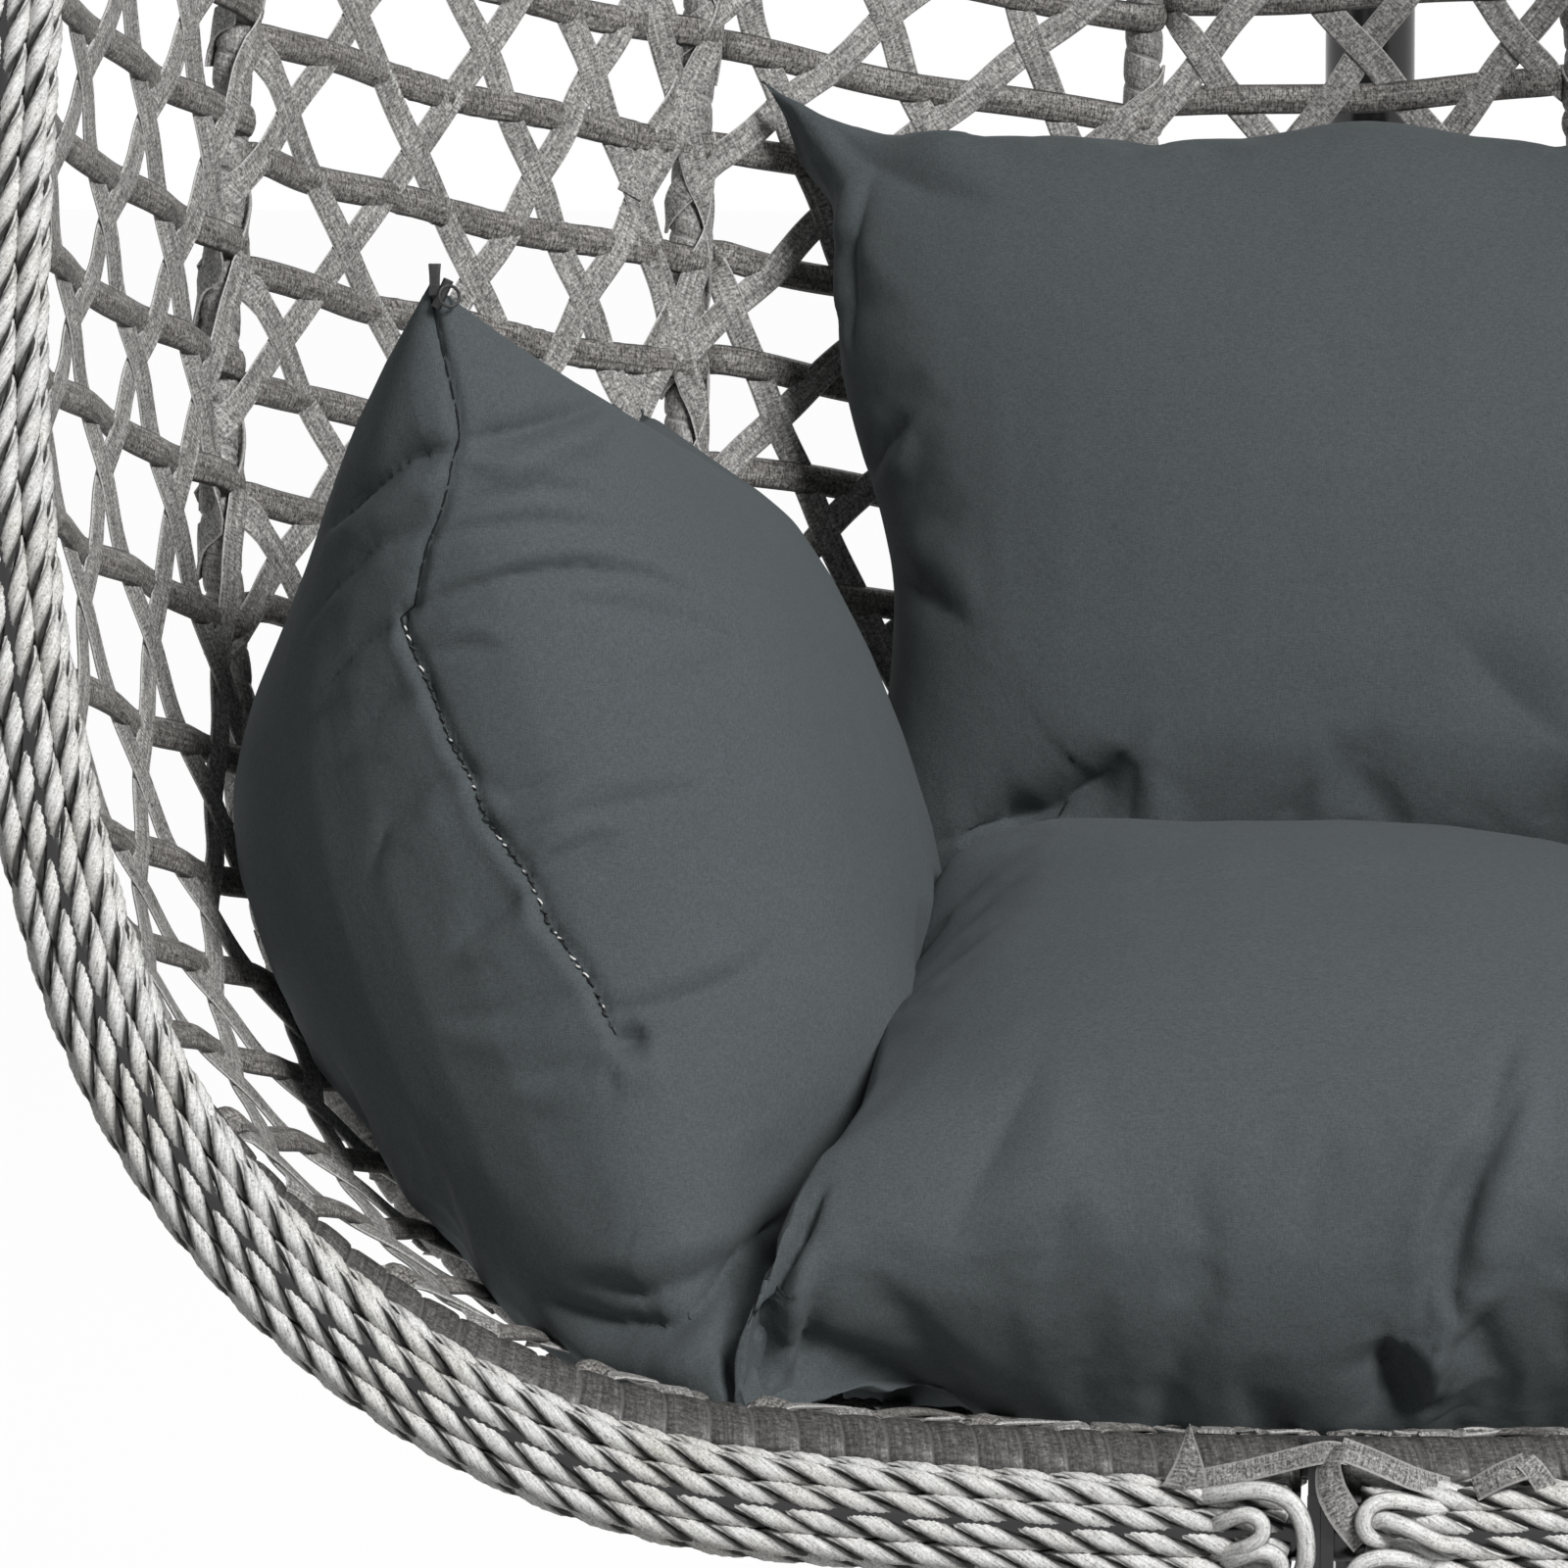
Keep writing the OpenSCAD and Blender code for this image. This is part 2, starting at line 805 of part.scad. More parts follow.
// Flat tongue over the ribs, from the crown's plate to the boss
module hanging_tongue() {
    translate([-tongue_w / 2, hoop_back + rib_r + near, basket_h + rib_r / 2 + 0.5])
        cube([tongue_w, hang_back - hoop_back - rib_r, rib_r / 2 + tongue_top]);
}

function end_height(arc, r) = arc[2] - sqrt(arc[2] * arc[2] - r * r);

module bottom_hub() {
    color(black) at_axis()
        in_basket()
            hub_plate(skin_lift + end_height(arcs(1)[0], hub_r));
}

module crown_hub() {
    color(black) at_axis()
        difference() {
            union() {
                in_basket() {
                    hub_plate(basket_h - end_height(arcs(1)[4], hub_r) / 2);
                    hanging_tongue();
                }
                translate([0, 0, hang_z - 2])
                    cylinder(r = boss_r, h = boss_h + 2);
            }
            translate([0, 0, stem_nut_z - stem_in_boss - 0.5])
                cylinder(r = stem_r + slip_fit, h = boss_h);
        }
}

// ---- rim, hoops and ribs ----

flange_gap = 0.1;
flange_drop = 26;
flange_top = 15;

module rim_flange(z, up) {
    translate([flange_gap, -braid_t / 2, z + (up > 0 ? -flange_top : -rim_in - flange_drop)])
        cube([flange_t, braid_t, rim_in + flange_drop + flange_top]);
    translate([flange_gap, 0, z + (up > 0 ? -rib_r : -flange_top)])
        cube([flange_t, hoop_back + rib_r, rib_r + (up > 0 ? flange_top : flange_top + skin_lift)]);
}

rim_bolt_drop = rim_in + flange_drop / 2;

rim_cut = flange_gap + flange_t;

// Right half of the rim tube, between its two flanges
module rim_half() {
    in_basket()
        along_arcs(open_arcs(1, rim_cut + flange_gap))
            ring_section(rim_r, frame_wall);
}

// The flanges at the ends of the right half
module flange_pair() {
    in_basket()
        difference() {
            union() {
                rim_flange(0, 0);
                rim_flange(basket_h, 1);
            }
            for (z = [-rim_bolt_drop, basket_h + rim_bolt_drop])
                translate([-1, 0, z])
                    rotate([0, 90, 0])
                        cylinder(r = bolt_r + bolt_gap, h = 2 * flange_t);
        }
}

module rim_flanges_right() {
    color(black) at_axis()
        flange_pair();
}

module rim_flanges_left() {
    color(black) at_axis()
        mirror([1, 0, 0])
            flange_pair();
}

module rim_tube_right() {
    color(black) at_axis()
        rim_half();
}

module rim_tube_left() {
    color(black) at_axis()
        mirror([1, 0, 0])
            rim_half();
}

module rim_bolts() {
    color(steel) at_axis()
        in_basket()
            for (z = [-rim_bolt_drop, basket_h + rim_bolt_drop])
                translate([-flange_gap - flange_t, 0, z])
                    bolt_x(2 * flange_t + 2 * flange_gap + head_h);
}

module rim_nuts() {
    color(steel) at_axis()
        in_basket()
            for (z = [-rim_bolt_drop, basket_h + rim_bolt_drop])
                translate([flange_gap + flange_t, 0, z])
                    rotate([0, 90, 0])
                        nut(head_r, slip_fit, head_h);
}

// Section of the braid: flat, with round edges, on the rim tube
module braid_section() {
    difference() {
        union() {
            square([braid_w - braid_t, braid_t - 2 * $thin], center = true);
            for (side = [-1, 1])
                translate([side * (braid_w - braid_t) / 2, 0])
                    circle(braid_t / 2 - $thin);
        }
        circle(rim_r + 1.5 * slip_fit - $thin);
    }
}

braid_cut = rim_cut + 1.5;

module braid_half() {
    in_basket()
        along_arcs(open_arcs(1, braid_cut))
            braid_section();
}

module rim_braid_right() {
    color(pale_braid) at_axis()
        braid_half();
}

module rim_braid_left() {
    color(pale_braid) at_axis()
        mirror([1, 0, 0])
            braid_half();
}

// A rib in direction a from the rim's plane, open near the axis
module rib(a, open) {
    in_basket()
        translate([0, hoop_back, 0])
            rotate([0, 0, a])
                along_arcs(open_arcs(stretch(a), open, skin_lift))
                    ring_section(rib_r, frame_wall);
}

module hoop_right() {
    color(grey_strip) at_axis()
        rib(0, rim_cut + flange_gap);
}

module hoop_left() {
    color(grey_strip) at_axis()
        mirror([1, 0, 0])
            rib(0, rim_cut + flange_gap);
}

module rib_outer_right() {
    color(grey_strip) at_axis()
        rib(outer_rib_dir, hub_r + near);
}

module rib_outer_left() {
    color(grey_strip) at_axis()
        mirror([1, 0, 0])
            rib(outer_rib_dir, hub_r + near);
}

module rib_middle_right() {
    color(grey_strip) at_axis()
        rib(middle_rib_dir, hub_r + near);
}

module rib_middle_left() {
    color(grey_strip) at_axis()
        mirror([1, 0, 0])
            rib(middle_rib_dir, hub_r + near);
}

module rib_centre_right() {
    color(grey_strip) at_axis()
        rib(centre_rib_dir, hub_r + near);
}

module rib_centre_left() {
    color(grey_strip) at_axis()
        mirror([1, 0, 0])
            rib(centre_rib_dir, hub_r + near);
}

// ---- woven skin ----

// Steps along each of the five arcs, from the bottom up
arc_steps = [5, 7, 3, 8, 6];
skin_places = concat(
    [for (arc = [0:4]) for (i = [0:arc_steps[arc] - 1]) [arc, i / arc_steps[arc]]],
    [[4, 1]]
);
skin_rows = len(skin_places);
skin_out = rib_r + near;
skin_edge = hub_r + 4;

function skin_point(a, place, d) =
    let (p = arc_point(open_arcs(stretch(a), skin_edge, skin_lift)[place[0]], place[1], d))
    [p.x * cos(a), hoop_back + p.x * sin(a), p.y];

// A closed shell between the directions from and to, in a number of columns
module skin(from, to, columns) {
    sheet_size = skin_rows * (columns + 1);
    points = [
        for (d = [skin_out, skin_out + skin_t])
            for (c = [0:columns])
                for (place = skin_places)
                    skin_point(from + (to - from) * c / columns, place, d)
    ];
    outer = [for (c = [0:columns - 1]) for (r = [0:skin_rows - 2])
        let (a = c * skin_rows + r, b = a + skin_rows)
        each [[a, a + 1, b], [b, a + 1, b + 1]]];
    inner = [for (f = outer) [f[0] + sheet_size, f[2] + sheet_size, f[1] + sheet_size]];
    sides = [for (r = [0:skin_rows - 2])
        let (a = r, b = columns * skin_rows + r)
        each [
            [a, a + sheet_size, a + 1], [a + 1, a + sheet_size, a + sheet_size + 1],
            [b, b + 1, b + sheet_size], [b + 1, b + sheet_size + 1, b + sheet_size]
        ]];
    ends = [for (c = [0:columns - 1])
        let (a = c * skin_rows, b = a + skin_rows, e = a + skin_rows - 1, f = b + skin_rows - 1)
        each [
            [a, b, a + sheet_size], [b, b + sheet_size, a + sheet_size],
            [e, e + sheet_size, f], [f, e + sheet_size, f + sheet_size]
        ]];
    in_basket()
        polyhedron(points, concat(outer, inner, sides, ends));
}

module weave_right() {
    color(grey_strip) at_axis()
        skin(0, middle_rib_dir, 7);
}

module weave_back() {
    color(grey_strip) at_axis()
        skin(middle_rib_dir, 180 - middle_rib_dir, 6);
}

module weave_left() {
    color(grey_strip) at_axis()
        mirror([1, 0, 0])
            skin(0, middle_rib_dir, 7);
}

// ---- cushions ----

pillow_n = 18;

function turn_x(p, a) = [p.x, p.y * cos(a) - p.z * sin(a), p.y * sin(a) + p.z * cos(a)];
function turn_y(p, a) = [p.x * cos(a) + p.z * sin(a), p.y, p.z * cos(a) - p.x * sin(a)];
function turn_z(p, a) = [p.x * cos(a) - p.y * sin(a), p.x * sin(a) + p.y * cos(a), p.z];

// Inside of the woven skin: a point outside it is brought back onto it
skin_in = skin_out + skin_t + 5;
function in_skin(p) =
    let (
        y = p.y - hoop_back,
        a = atan2(max(0, y), abs(p.x)),
        k = stretch(a),
        r1 = bottom_r * k * k,
        low = skin_lift + r1 - sqrt(pow(r1 - skin_in, 2) - pow(min(400, norm([p.x, y])), 2)),
        z = max(p.z, low),
        room = half_at(k, z, skin_in),
        r = norm([p.x, max(0, y)]),
        f = r > room ? room / r : 1
    )
    [p.x * f, y > 0 ? hoop_back + y * f : p.y, z];

// Same, but brought back along the line towards a place c inside
function is_in_skin(p) = norm(in_skin(p) - p) < 0.01;
function last_in_skin(c, p, lo, hi, n) =
    n == 0 ? c + lo * (p - c)
        : let (mid = (lo + hi) / 2, more = is_in_skin(c + mid * (p - c)))
            last_in_skin(c, p, more ? mid : lo, more ? hi : mid, n - 1);
function towards(c, p) = is_in_skin(p) ? p : last_in_skin(c, p, 0, 1, 14);

// Presses a point back to the near side of a plane [normal, distance]
function behind(p, plane) =
    let (over = p * plane[0] - plane[1])
    over > 0 ? p - over * plane[0] : p;
function behind_all(p, planes, i = 0) =
    i == len(planes) ? p : behind_all(behind(p, planes[i]), planes, i + 1);

// Crown of a pillow at u, v in -1..1, and its outline with drawn-in sides
function crown(u, v, full) = pow((1 - u * u) * (1 - v * v), full);
function pillow_point(w, h, up, down, pull, full, u, v, side) =
    [
        w / 2 * u * (1 - pull.x * (1 - v * v) * u * u),
        h / 2 * v * (1 - pull.y * (1 - u * u) * v * v),
        (side > 0 ? up : -down) * crown(u, v, full)
    ];

function grid_place(i) = sin(90 * (2 * i / pillow_n - 1));

pillow_edge = pillow_n + 1;
pillow_places = [for (i = [0:pillow_n]) for (j = [0:pillow_n]) [i, j]];
function on_edge(i, j) = i == 0 || j == 0 || i == pillow_n || j == pillow_n;
function pillow_index(i, j, side) =
    side > 0 || on_edge(i, j) ? i * pillow_edge + j
        : pillow_edge * pillow_edge + (i - 1) * (pillow_n - 1) + j - 1;
// Each four-cornered face is cut so that a cut at a corner of the pillow starts at that corner
pillow_faces = [
    for (side = [1, -1]) for (i = [0:pillow_n - 1]) for (j = [0:pillow_n - 1])
        let (
            turned = (2 * i - pillow_n + 1) * (2 * j - pillow_n + 1) < 0,
            p = pillow_index(i, j, side), q = pillow_index(i + 1, j, side),
            r = pillow_index(i + 1, j + 1, side), t = pillow_index(i, j + 1, side),
            a = turned ? q : p, b = turned ? r : q, c = turned ? t : r, d = turned ? p : t
        )
        each (side > 0 ? [[a, c, b], [a, d, c]] : [[a, b, c], [a, c, d]])
];

function place_pillow(p, tilt, swing, roll, at) = turn_z(turn_x(turn_y(p, roll), tilt), swing) + at;

module pillow(w, h, up, down, pull, full, tilt, swing, roll, at, planes) {
    points = concat(
        [for (q = pillow_places)
            pillow_point(w, h, up, down, pull, full, grid_place(q[0]), grid_place(q[1]), 1)],
        [for (q = pillow_places) if (!on_edge(q[0], q[1]))
            pillow_point(w, h, up, down, pull, full, grid_place(q[0]), grid_place(q[1]), -1)]
    );
    polyhedron(
        [for (p = points) towards(at, behind_all(place_pillow(p, tilt, swing, roll, at), planes))],
        pillow_faces
    );
}

cushion_gap = 1;
seat_slope = 8;
seat_behind_hoop = 14;
seat_mid_z = 75;
seat_at = [0, hoop_back + seat_behind_hoop + seat_d / 2, seat_mid_z];
back_lean = 4;
back_mid_y = 530;
back_foot_z = 182;
back_at = [0, back_mid_y, back_foot_z + back_h / 2];

// Planes that two cushions press against each other on
arm_seat_drop = 0.2355;   // fall of the plane for each millimetre out
arm_seat_normal = unit([1, 0, -arm_seat_drop]);
arm_seat_plane = -219;
arm_back_normal = unit([1, 1, 0]);
arm_back_plane = 190;
seat_back_normal = unit([0, 0.35, 1]);
seat_back_plane = 423;

function mirrored(v) = [-v.x, v.y, v.z];

module seat_cushion() {
    color(slate) at_axis()
        in_basket()
            pillow(
                seat_w, seat_d, seat_crown, 36, [0.06, 0.06], 0.3, seat_slope, 0, 0, seat_at,
                [
                    [-arm_seat_normal, -arm_seat_plane - cushion_gap],
                    [-mirrored(arm_seat_normal), -arm_seat_plane - cushion_gap],
                    [seat_back_normal, seat_back_plane - cushion_gap]
                ]
            );
}

module back_cushion() {
    color(slate) at_axis()
        in_basket()
            pillow(
                back_w, back_h, back_t / 2, back_t / 2, [0.21, 0.065], 0.5, 90 - back_lean, 0, 0, back_at,
                [
                    [-seat_back_normal, -seat_back_plane - cushion_gap],
                    [-arm_back_normal, -arm_back_plane - cushion_gap],
                    [-mirrored(arm_back_normal), -arm_back_plane - cushion_gap]
                ]
            );
}

arm_roll = 16;
arm_swing = -6;
arm_at = [-272, hoop_back + 22 + arm_edge / 2, 266];

module arm_pillow() {
    in_basket()
        pillow(
            arm_edge, arm_edge, arm_in, arm_out, [0.14, 0.14], 0.5, 0, arm_swing, 90 - arm_roll, arm_at,
            [
                [arm_seat_normal, arm_seat_plane - cushion_gap],
                [arm_back_normal, arm_back_plane - cushion_gap]
            ]
        );
}

module arm_cushion_left() {
    color(slate) at_axis()
        arm_pillow();
}

module arm_cushion_right() {
    color(slate) at_axis()
        mirror([1, 0, 0])
            arm_pillow();
}

// The corner of an arm cushion that its zip ends in
function arm_tip() = place_pillow([-arm_edge / 2, -arm_edge / 2, 0], 0, arm_swing, 90 - arm_roll, arm_at);

module zip_pull() {
    in_basket()
        translate(towards(arm_at, arm_tip()) + [-3, -2, near])
            cube([6, 3, zip_l]);
}

module zip_pull_left() {
    color(black) at_axis()
        zip_pull();
}

module zip_pull_right() {
    color(black) at_axis()
        mirror([1, 0, 0])
            zip_pull();
}

base_ring_left();
base_ring_right();
base_bar();
base_feet();
base_bolts();
base_nuts();
post_socket();
post_lower();
post_upper();
post_sleeve();
post_bolts();
post_nuts();
arm_cap();
eye_bolt();
eye_saddle();
eye_nut();
snap_hook();
snap_gate();
gate_pin();
spring_top_fitting();
suspension_spring();
spring_bottom_fitting();
swivel_stem();
stem_nut();
crown_hub();
bottom_hub();
rim_tube_left();
rim_tube_right();
rim_flanges_left();
rim_flanges_right();
rim_bolts();
rim_nuts();
rim_braid_left();
rim_braid_right();
hoop_left();
hoop_right();
rib_outer_left();
rib_middle_left();
rib_centre_left();
rib_outer_right();
rib_middle_right();
rib_centre_right();
weave_left();
weave_back();
weave_right();
seat_cushion();
back_cushion();
arm_cushion_left();
arm_cushion_right();
zip_pull_left();
zip_pull_right();
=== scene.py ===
"""Hanging egg chair: the wrapped ribs, the woven skin, the plaited rim and the four cushions."""
import json
import math

import bpy
import bmesh
import numpy as np
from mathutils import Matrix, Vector
from mathutils.bvhtree import BVHTree


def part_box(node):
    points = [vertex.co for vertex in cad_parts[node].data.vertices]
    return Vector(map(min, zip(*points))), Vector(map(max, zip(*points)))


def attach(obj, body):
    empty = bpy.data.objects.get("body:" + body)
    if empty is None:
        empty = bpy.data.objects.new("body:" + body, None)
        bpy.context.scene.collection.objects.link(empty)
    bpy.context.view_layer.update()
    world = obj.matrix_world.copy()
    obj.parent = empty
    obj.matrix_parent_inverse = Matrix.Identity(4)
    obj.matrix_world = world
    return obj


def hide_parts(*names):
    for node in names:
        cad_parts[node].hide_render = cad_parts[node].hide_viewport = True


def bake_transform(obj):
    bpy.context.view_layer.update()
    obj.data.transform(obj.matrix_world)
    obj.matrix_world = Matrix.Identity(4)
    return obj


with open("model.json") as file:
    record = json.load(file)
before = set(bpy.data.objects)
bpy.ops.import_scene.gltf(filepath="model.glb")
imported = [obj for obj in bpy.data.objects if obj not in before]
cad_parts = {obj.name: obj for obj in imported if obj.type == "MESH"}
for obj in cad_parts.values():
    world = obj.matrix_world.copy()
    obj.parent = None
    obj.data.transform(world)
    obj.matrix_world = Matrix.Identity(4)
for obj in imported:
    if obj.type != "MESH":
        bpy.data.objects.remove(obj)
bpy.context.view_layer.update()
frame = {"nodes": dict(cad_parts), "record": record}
nodes = frame["nodes"]
TAU = 2 * math.pi

# ---------------- the basket's form, in metres
# half the rim's width, the basket's depth as a share of it, the rim's height and that of its widest point
HALF, DEPTH, HIGH, BELLY = 0.519, 0.655 / 0.519, 1.161, 0.468
# radii of the rim's arcs, from the bottom up
BOTTOM_R, CORNER_R, SIDE_R, UPPER_R = 2.526, 0.312, 0.817, 1.947
# the basket's lean, and where it hangs: behind the rim, above the floor, ahead of the stand's middle
LEAN, HANG_BACK, HANG_Z, AXIS_Y = math.radians(9), 0.151, 1.5861, -0.061
# a rib's radius, the hoop's place behind the rim, the ribs' lift over the rim's bottom, the hubs' radius
RIB_R, HOOP_Y, LIFT, HUB_R = 0.008, 0.0213, 0.029, 0.0753
RIBS = [30.5, 61, 81, 99, 119, 149.5]      # degrees, from the left side round the back
WEAVE_IN = 0.0098                          # the skin's middle, inward of the ribs' middle line
ALONG = 0.004                              # between two points along a rib, a hoop or the rim


def run_length(path):
    """Distance along a path, at each of its points."""
    return np.concatenate([[0], np.cumsum(np.linalg.norm(np.diff(path, axis=0), axis=1))])


def sample(s, far, path):
    """Points at the distances s on a path whose own points lie at the distances far."""
    return np.stack([np.interp(s, far, column) for column in path.T], 1)


def relax(line, times):
    """Evens out a line between its ends."""
    for _ in range(times):
        line[1:-1] = (line[:-2] + 2 * line[1:-1] + line[2:]) / 4
    return line


def stretch(a):
    return 1 / np.sqrt(np.cos(a) ** 2 + (np.sin(a) / DEPTH) ** 2)


def outline(k, lift):
    """The five arcs of a rib that stands k times as far out as the rim: centre, radius, first and last angle."""
    w, belly, rise = HALF * k, BELLY - lift, HIGH - BELLY
    r1, r2, r3, r4 = BOTTOM_R * k * k, CORNER_R * np.sqrt(k), SIDE_R / k, UPPER_R / k
    a, b, c = w - r3, r3 - r2, belly - r1
    p, q = 2 * a * b, -2 * b * c
    turn = np.arctan2(q, p) - np.arccos(((r1 - r2) ** 2 - a * a - b * b - c * c) / np.hypot(p, q))
    cx, cz = a + b * np.cos(turn), belly - b * np.sin(turn)
    low, d = np.arctan2(cx, r1 - cz), w - r4
    r5 = (r4 * r4 - d * d - rise * rise) / (2 * (r4 - rise))
    high, h = np.arctan2(HIGH - r5 - BELLY, -d), math.pi / 2
    return [(0, r1 + lift, r1, -h, low - h), (cx, cz + lift, r2, low - h, -turn),
            (a, BELLY, r3, -turn, 0), (d, BELLY, r4, 0, high), (0, HIGH - r5, r5, high, h)]


def section(a, lift=LIFT, step=0.002):
    """Along the rib at direction a (0 is the left side): distance, out, height, and the normal's out and height."""
    rows = []
    for cx, cz, r, s, e in outline(stretch(a), lift):
        t = np.linspace(s, e, max(3, int(r * (e - s) / step)))
        rows.append(np.stack([cx + r * np.cos(t), cz + r * np.sin(t), np.cos(t), np.sin(t)], 1)[:-1])
    g = np.concatenate(rows)
    return np.column_stack([run_length(g[:, :2]), g])


DIRECTIONS, LEVELS = 360, 900       # the table of the skin's form
HEIGHTS = np.linspace(LIFT + 0.0003, HIGH - 0.0003, LEVELS)
FORM = np.array([[np.interp(HEIGHTS, g[:, 2], g[:, c]) for c in (1, 3, 4)]
                 for g in (section(a) for a in np.radians(np.linspace(0, 180, DIRECTIONS + 1)))])


def on_skin(a, z, inward=WEAVE_IN):
    """Local point and inward normal at direction a and height z, inward of the ribs' middle line."""
    a, z = np.broadcast_arrays(np.asarray(a, float), np.asarray(z, float))
    i = np.clip(a / math.pi * DIRECTIONS, 0, DIRECTIONS - 0.001)
    j = np.clip((z - HEIGHTS[0]) / (HEIGHTS[1] - HEIGHTS[0]), 0, LEVELS - 1.001)
    i0, j0 = i.astype(int), j.astype(int)
    u, v = i - i0, j - j0
    out, nx, nz = [(FORM[i0, c, j0] * (1 - u) + FORM[i0 + 1, c, j0] * u) * (1 - v)
                   + (FORM[i0, c, j0 + 1] * (1 - u) + FORM[i0 + 1, c, j0 + 1] * u) * v for c in range(3)]
    ca, sa = -np.cos(a), np.sin(a)
    n = -np.stack([nx * ca, nx * sa, nz], -1)
    n /= np.linalg.norm(n, axis=-1, keepdims=True)
    p = np.stack([out * ca, HOOP_Y + out * sa, z], -1)
    return p + n * np.asarray(inward)[..., None], n


def turned(v):
    """Directions of the basket's own frame, leant back as it hangs."""
    c, s = math.cos(LEAN), math.sin(LEAN)
    return np.stack([v[..., 0], v[..., 1] * c + v[..., 2] * s, -v[..., 1] * s + v[..., 2] * c], -1)


def hung(p):
    """Points of the basket's own frame, where it hangs."""
    return turned(p - np.array([0, HANG_BACK, HIGH + RIB_R])) + np.array([0, AXIS_Y, HANG_Z])


# ---------------- strips, strands and wraps
class Bundle:
    """Swept strips gathered into one mesh, with a UV map: metres along, and 0 to 1 across."""

    def __init__(self):
        self.points, self.faces, self.lay, self.count = [], [], [], 0

    def add(self, path, side, up, shape):
        """path, side, up: n x 3; shape: m rows of (sideways, outwards, place across), or n x m x 3."""
        shape = np.broadcast_to(np.asarray(shape, float), (len(path),) + np.shape(shape)[-2:])
        n, m = shape.shape[:2]
        p = path[:, None] + side[:, None] * shape[..., :1] + up[:, None] * shape[..., 1:2]
        along = run_length(path)
        i, j = np.meshgrid(np.arange(n - 1), np.arange(m), indexing="ij")
        k = (j + 1) % m
        quads = np.stack([i * m + j, i * m + k, (i + 1) * m + k, (i + 1) * m + j], -1).reshape(-1, 4)
        lay = np.stack([np.repeat(along, m), shape[..., 2].ravel()], 1)
        r = np.arange(m)
        start = np.stack([r, 0 * r + n * m, (r + 1) % m], 1)
        end = np.stack([(n - 1) * m + (r + 1) % m, 0 * r + n * m + 1, (n - 1) * m + r], 1)
        self.points += [p.reshape(-1, 3), np.stack([p[0].mean(0), p[-1].mean(0)])]
        self.lay += [lay, np.array([[0, 0.5], [along[-1], 0.5]])]
        self.faces += [quads + self.count, start + self.count, end + self.count]
        self.count += n * m + 2

    def make(self, name, finish):
        pts, lay = np.concatenate(self.points), np.concatenate(self.lay)
        sizes = np.concatenate([np.full(len(f), f.shape[1]) for f in self.faces])
        corners = np.concatenate([f.ravel() for f in self.faces])
        mesh = bpy.data.meshes.new(name)
        mesh.vertices.add(len(pts))
        mesh.vertices.foreach_set("co", pts.astype(np.float32).ravel())
        mesh.loops.add(len(corners))
        mesh.loops.foreach_set("vertex_index", corners.astype(np.int32))
        mesh.polygons.add(len(sizes))
        mesh.polygons.foreach_set("loop_start", np.concatenate([[0], np.cumsum(sizes)[:-1]]).astype(np.int32))
        mesh.update(calc_edges=True)
        mesh.uv_layers.new(name="lay").data.foreach_set("uv", lay[corners].astype(np.float32).ravel())
        mesh.polygons.foreach_set("use_smooth", np.full(len(sizes), True))
        mesh.validate()
        piece = bpy.data.objects.new(name, mesh)
        bpy.context.scene.collection.objects.link(piece)
        recalculate(piece)
        piece.data.materials.append(finish)
        return piece


def choose(piece):
    bpy.ops.object.select_all(action="DESELECT")
    piece.select_set(True)
    bpy.context.view_layer.objects.active = piece


def recalculate(piece, merge=0.0):
    bm = bmesh.new()
    bm.from_mesh(piece.data)
    if merge:
        bmesh.ops.remove_doubles(bm, verts=bm.verts, dist=merge)
        bmesh.ops.dissolve_degenerate(bm, edges=bm.edges, dist=1e-6)
    bmesh.ops.recalc_face_normals(bm, faces=bm.faces)
    bm.to_mesh(piece.data)
    bm.free()


def square_to(path, up):
    """Side directions for a path whose outward directions are up."""
    t = np.gradient(path, axis=0)
    t /= np.linalg.norm(t, axis=1, keepdims=True)
    up = up - t * np.sum(up * t, axis=1, keepdims=True)
    up /= np.linalg.norm(up, axis=1, keepdims=True)
    return np.cross(up, t), up


def flat_strip(w, t):
    """A flat strip with rounded edges."""
    h, e = w / 2, w / 2 - t * 0.45
    return [(-h, 0, 0), (-e, t / 2, .08), (0, t * .56, .5), (e, t / 2, .92), (h, 0, 1), (e, -t / 2, .92),
            (-e, -t / 2, .08)]


def half_moon(w, t):
    """A half-round strip: crowned towards the sitter, flat at the back."""
    h = w / 2
    return [(-h, -t * .28, 0), (-h * .8, t * .12, .1), (-h * .4, t * .42, .3), (0, t * .52, .5),
            (h * .4, t * .42, .7), (h * .8, t * .12, .9), (h, -t * .28, 1), (0, -t * .34, .5)]


def round_strand(w, t, sides):
    turn = [TAU * i / sides for i in range(sides)]
    return [(w / 2 * math.cos(a), t / 2 * math.sin(a), a / TAU) for a in turn]


WRAP_R = 0.0083      # a wrapped tube's radius under its strip
WRAP_EDGE = [(0, -.0011), (.05, -.0001), (.18, .0003), (.5, .0004), (.82, .0001), (.95, -.0005)]


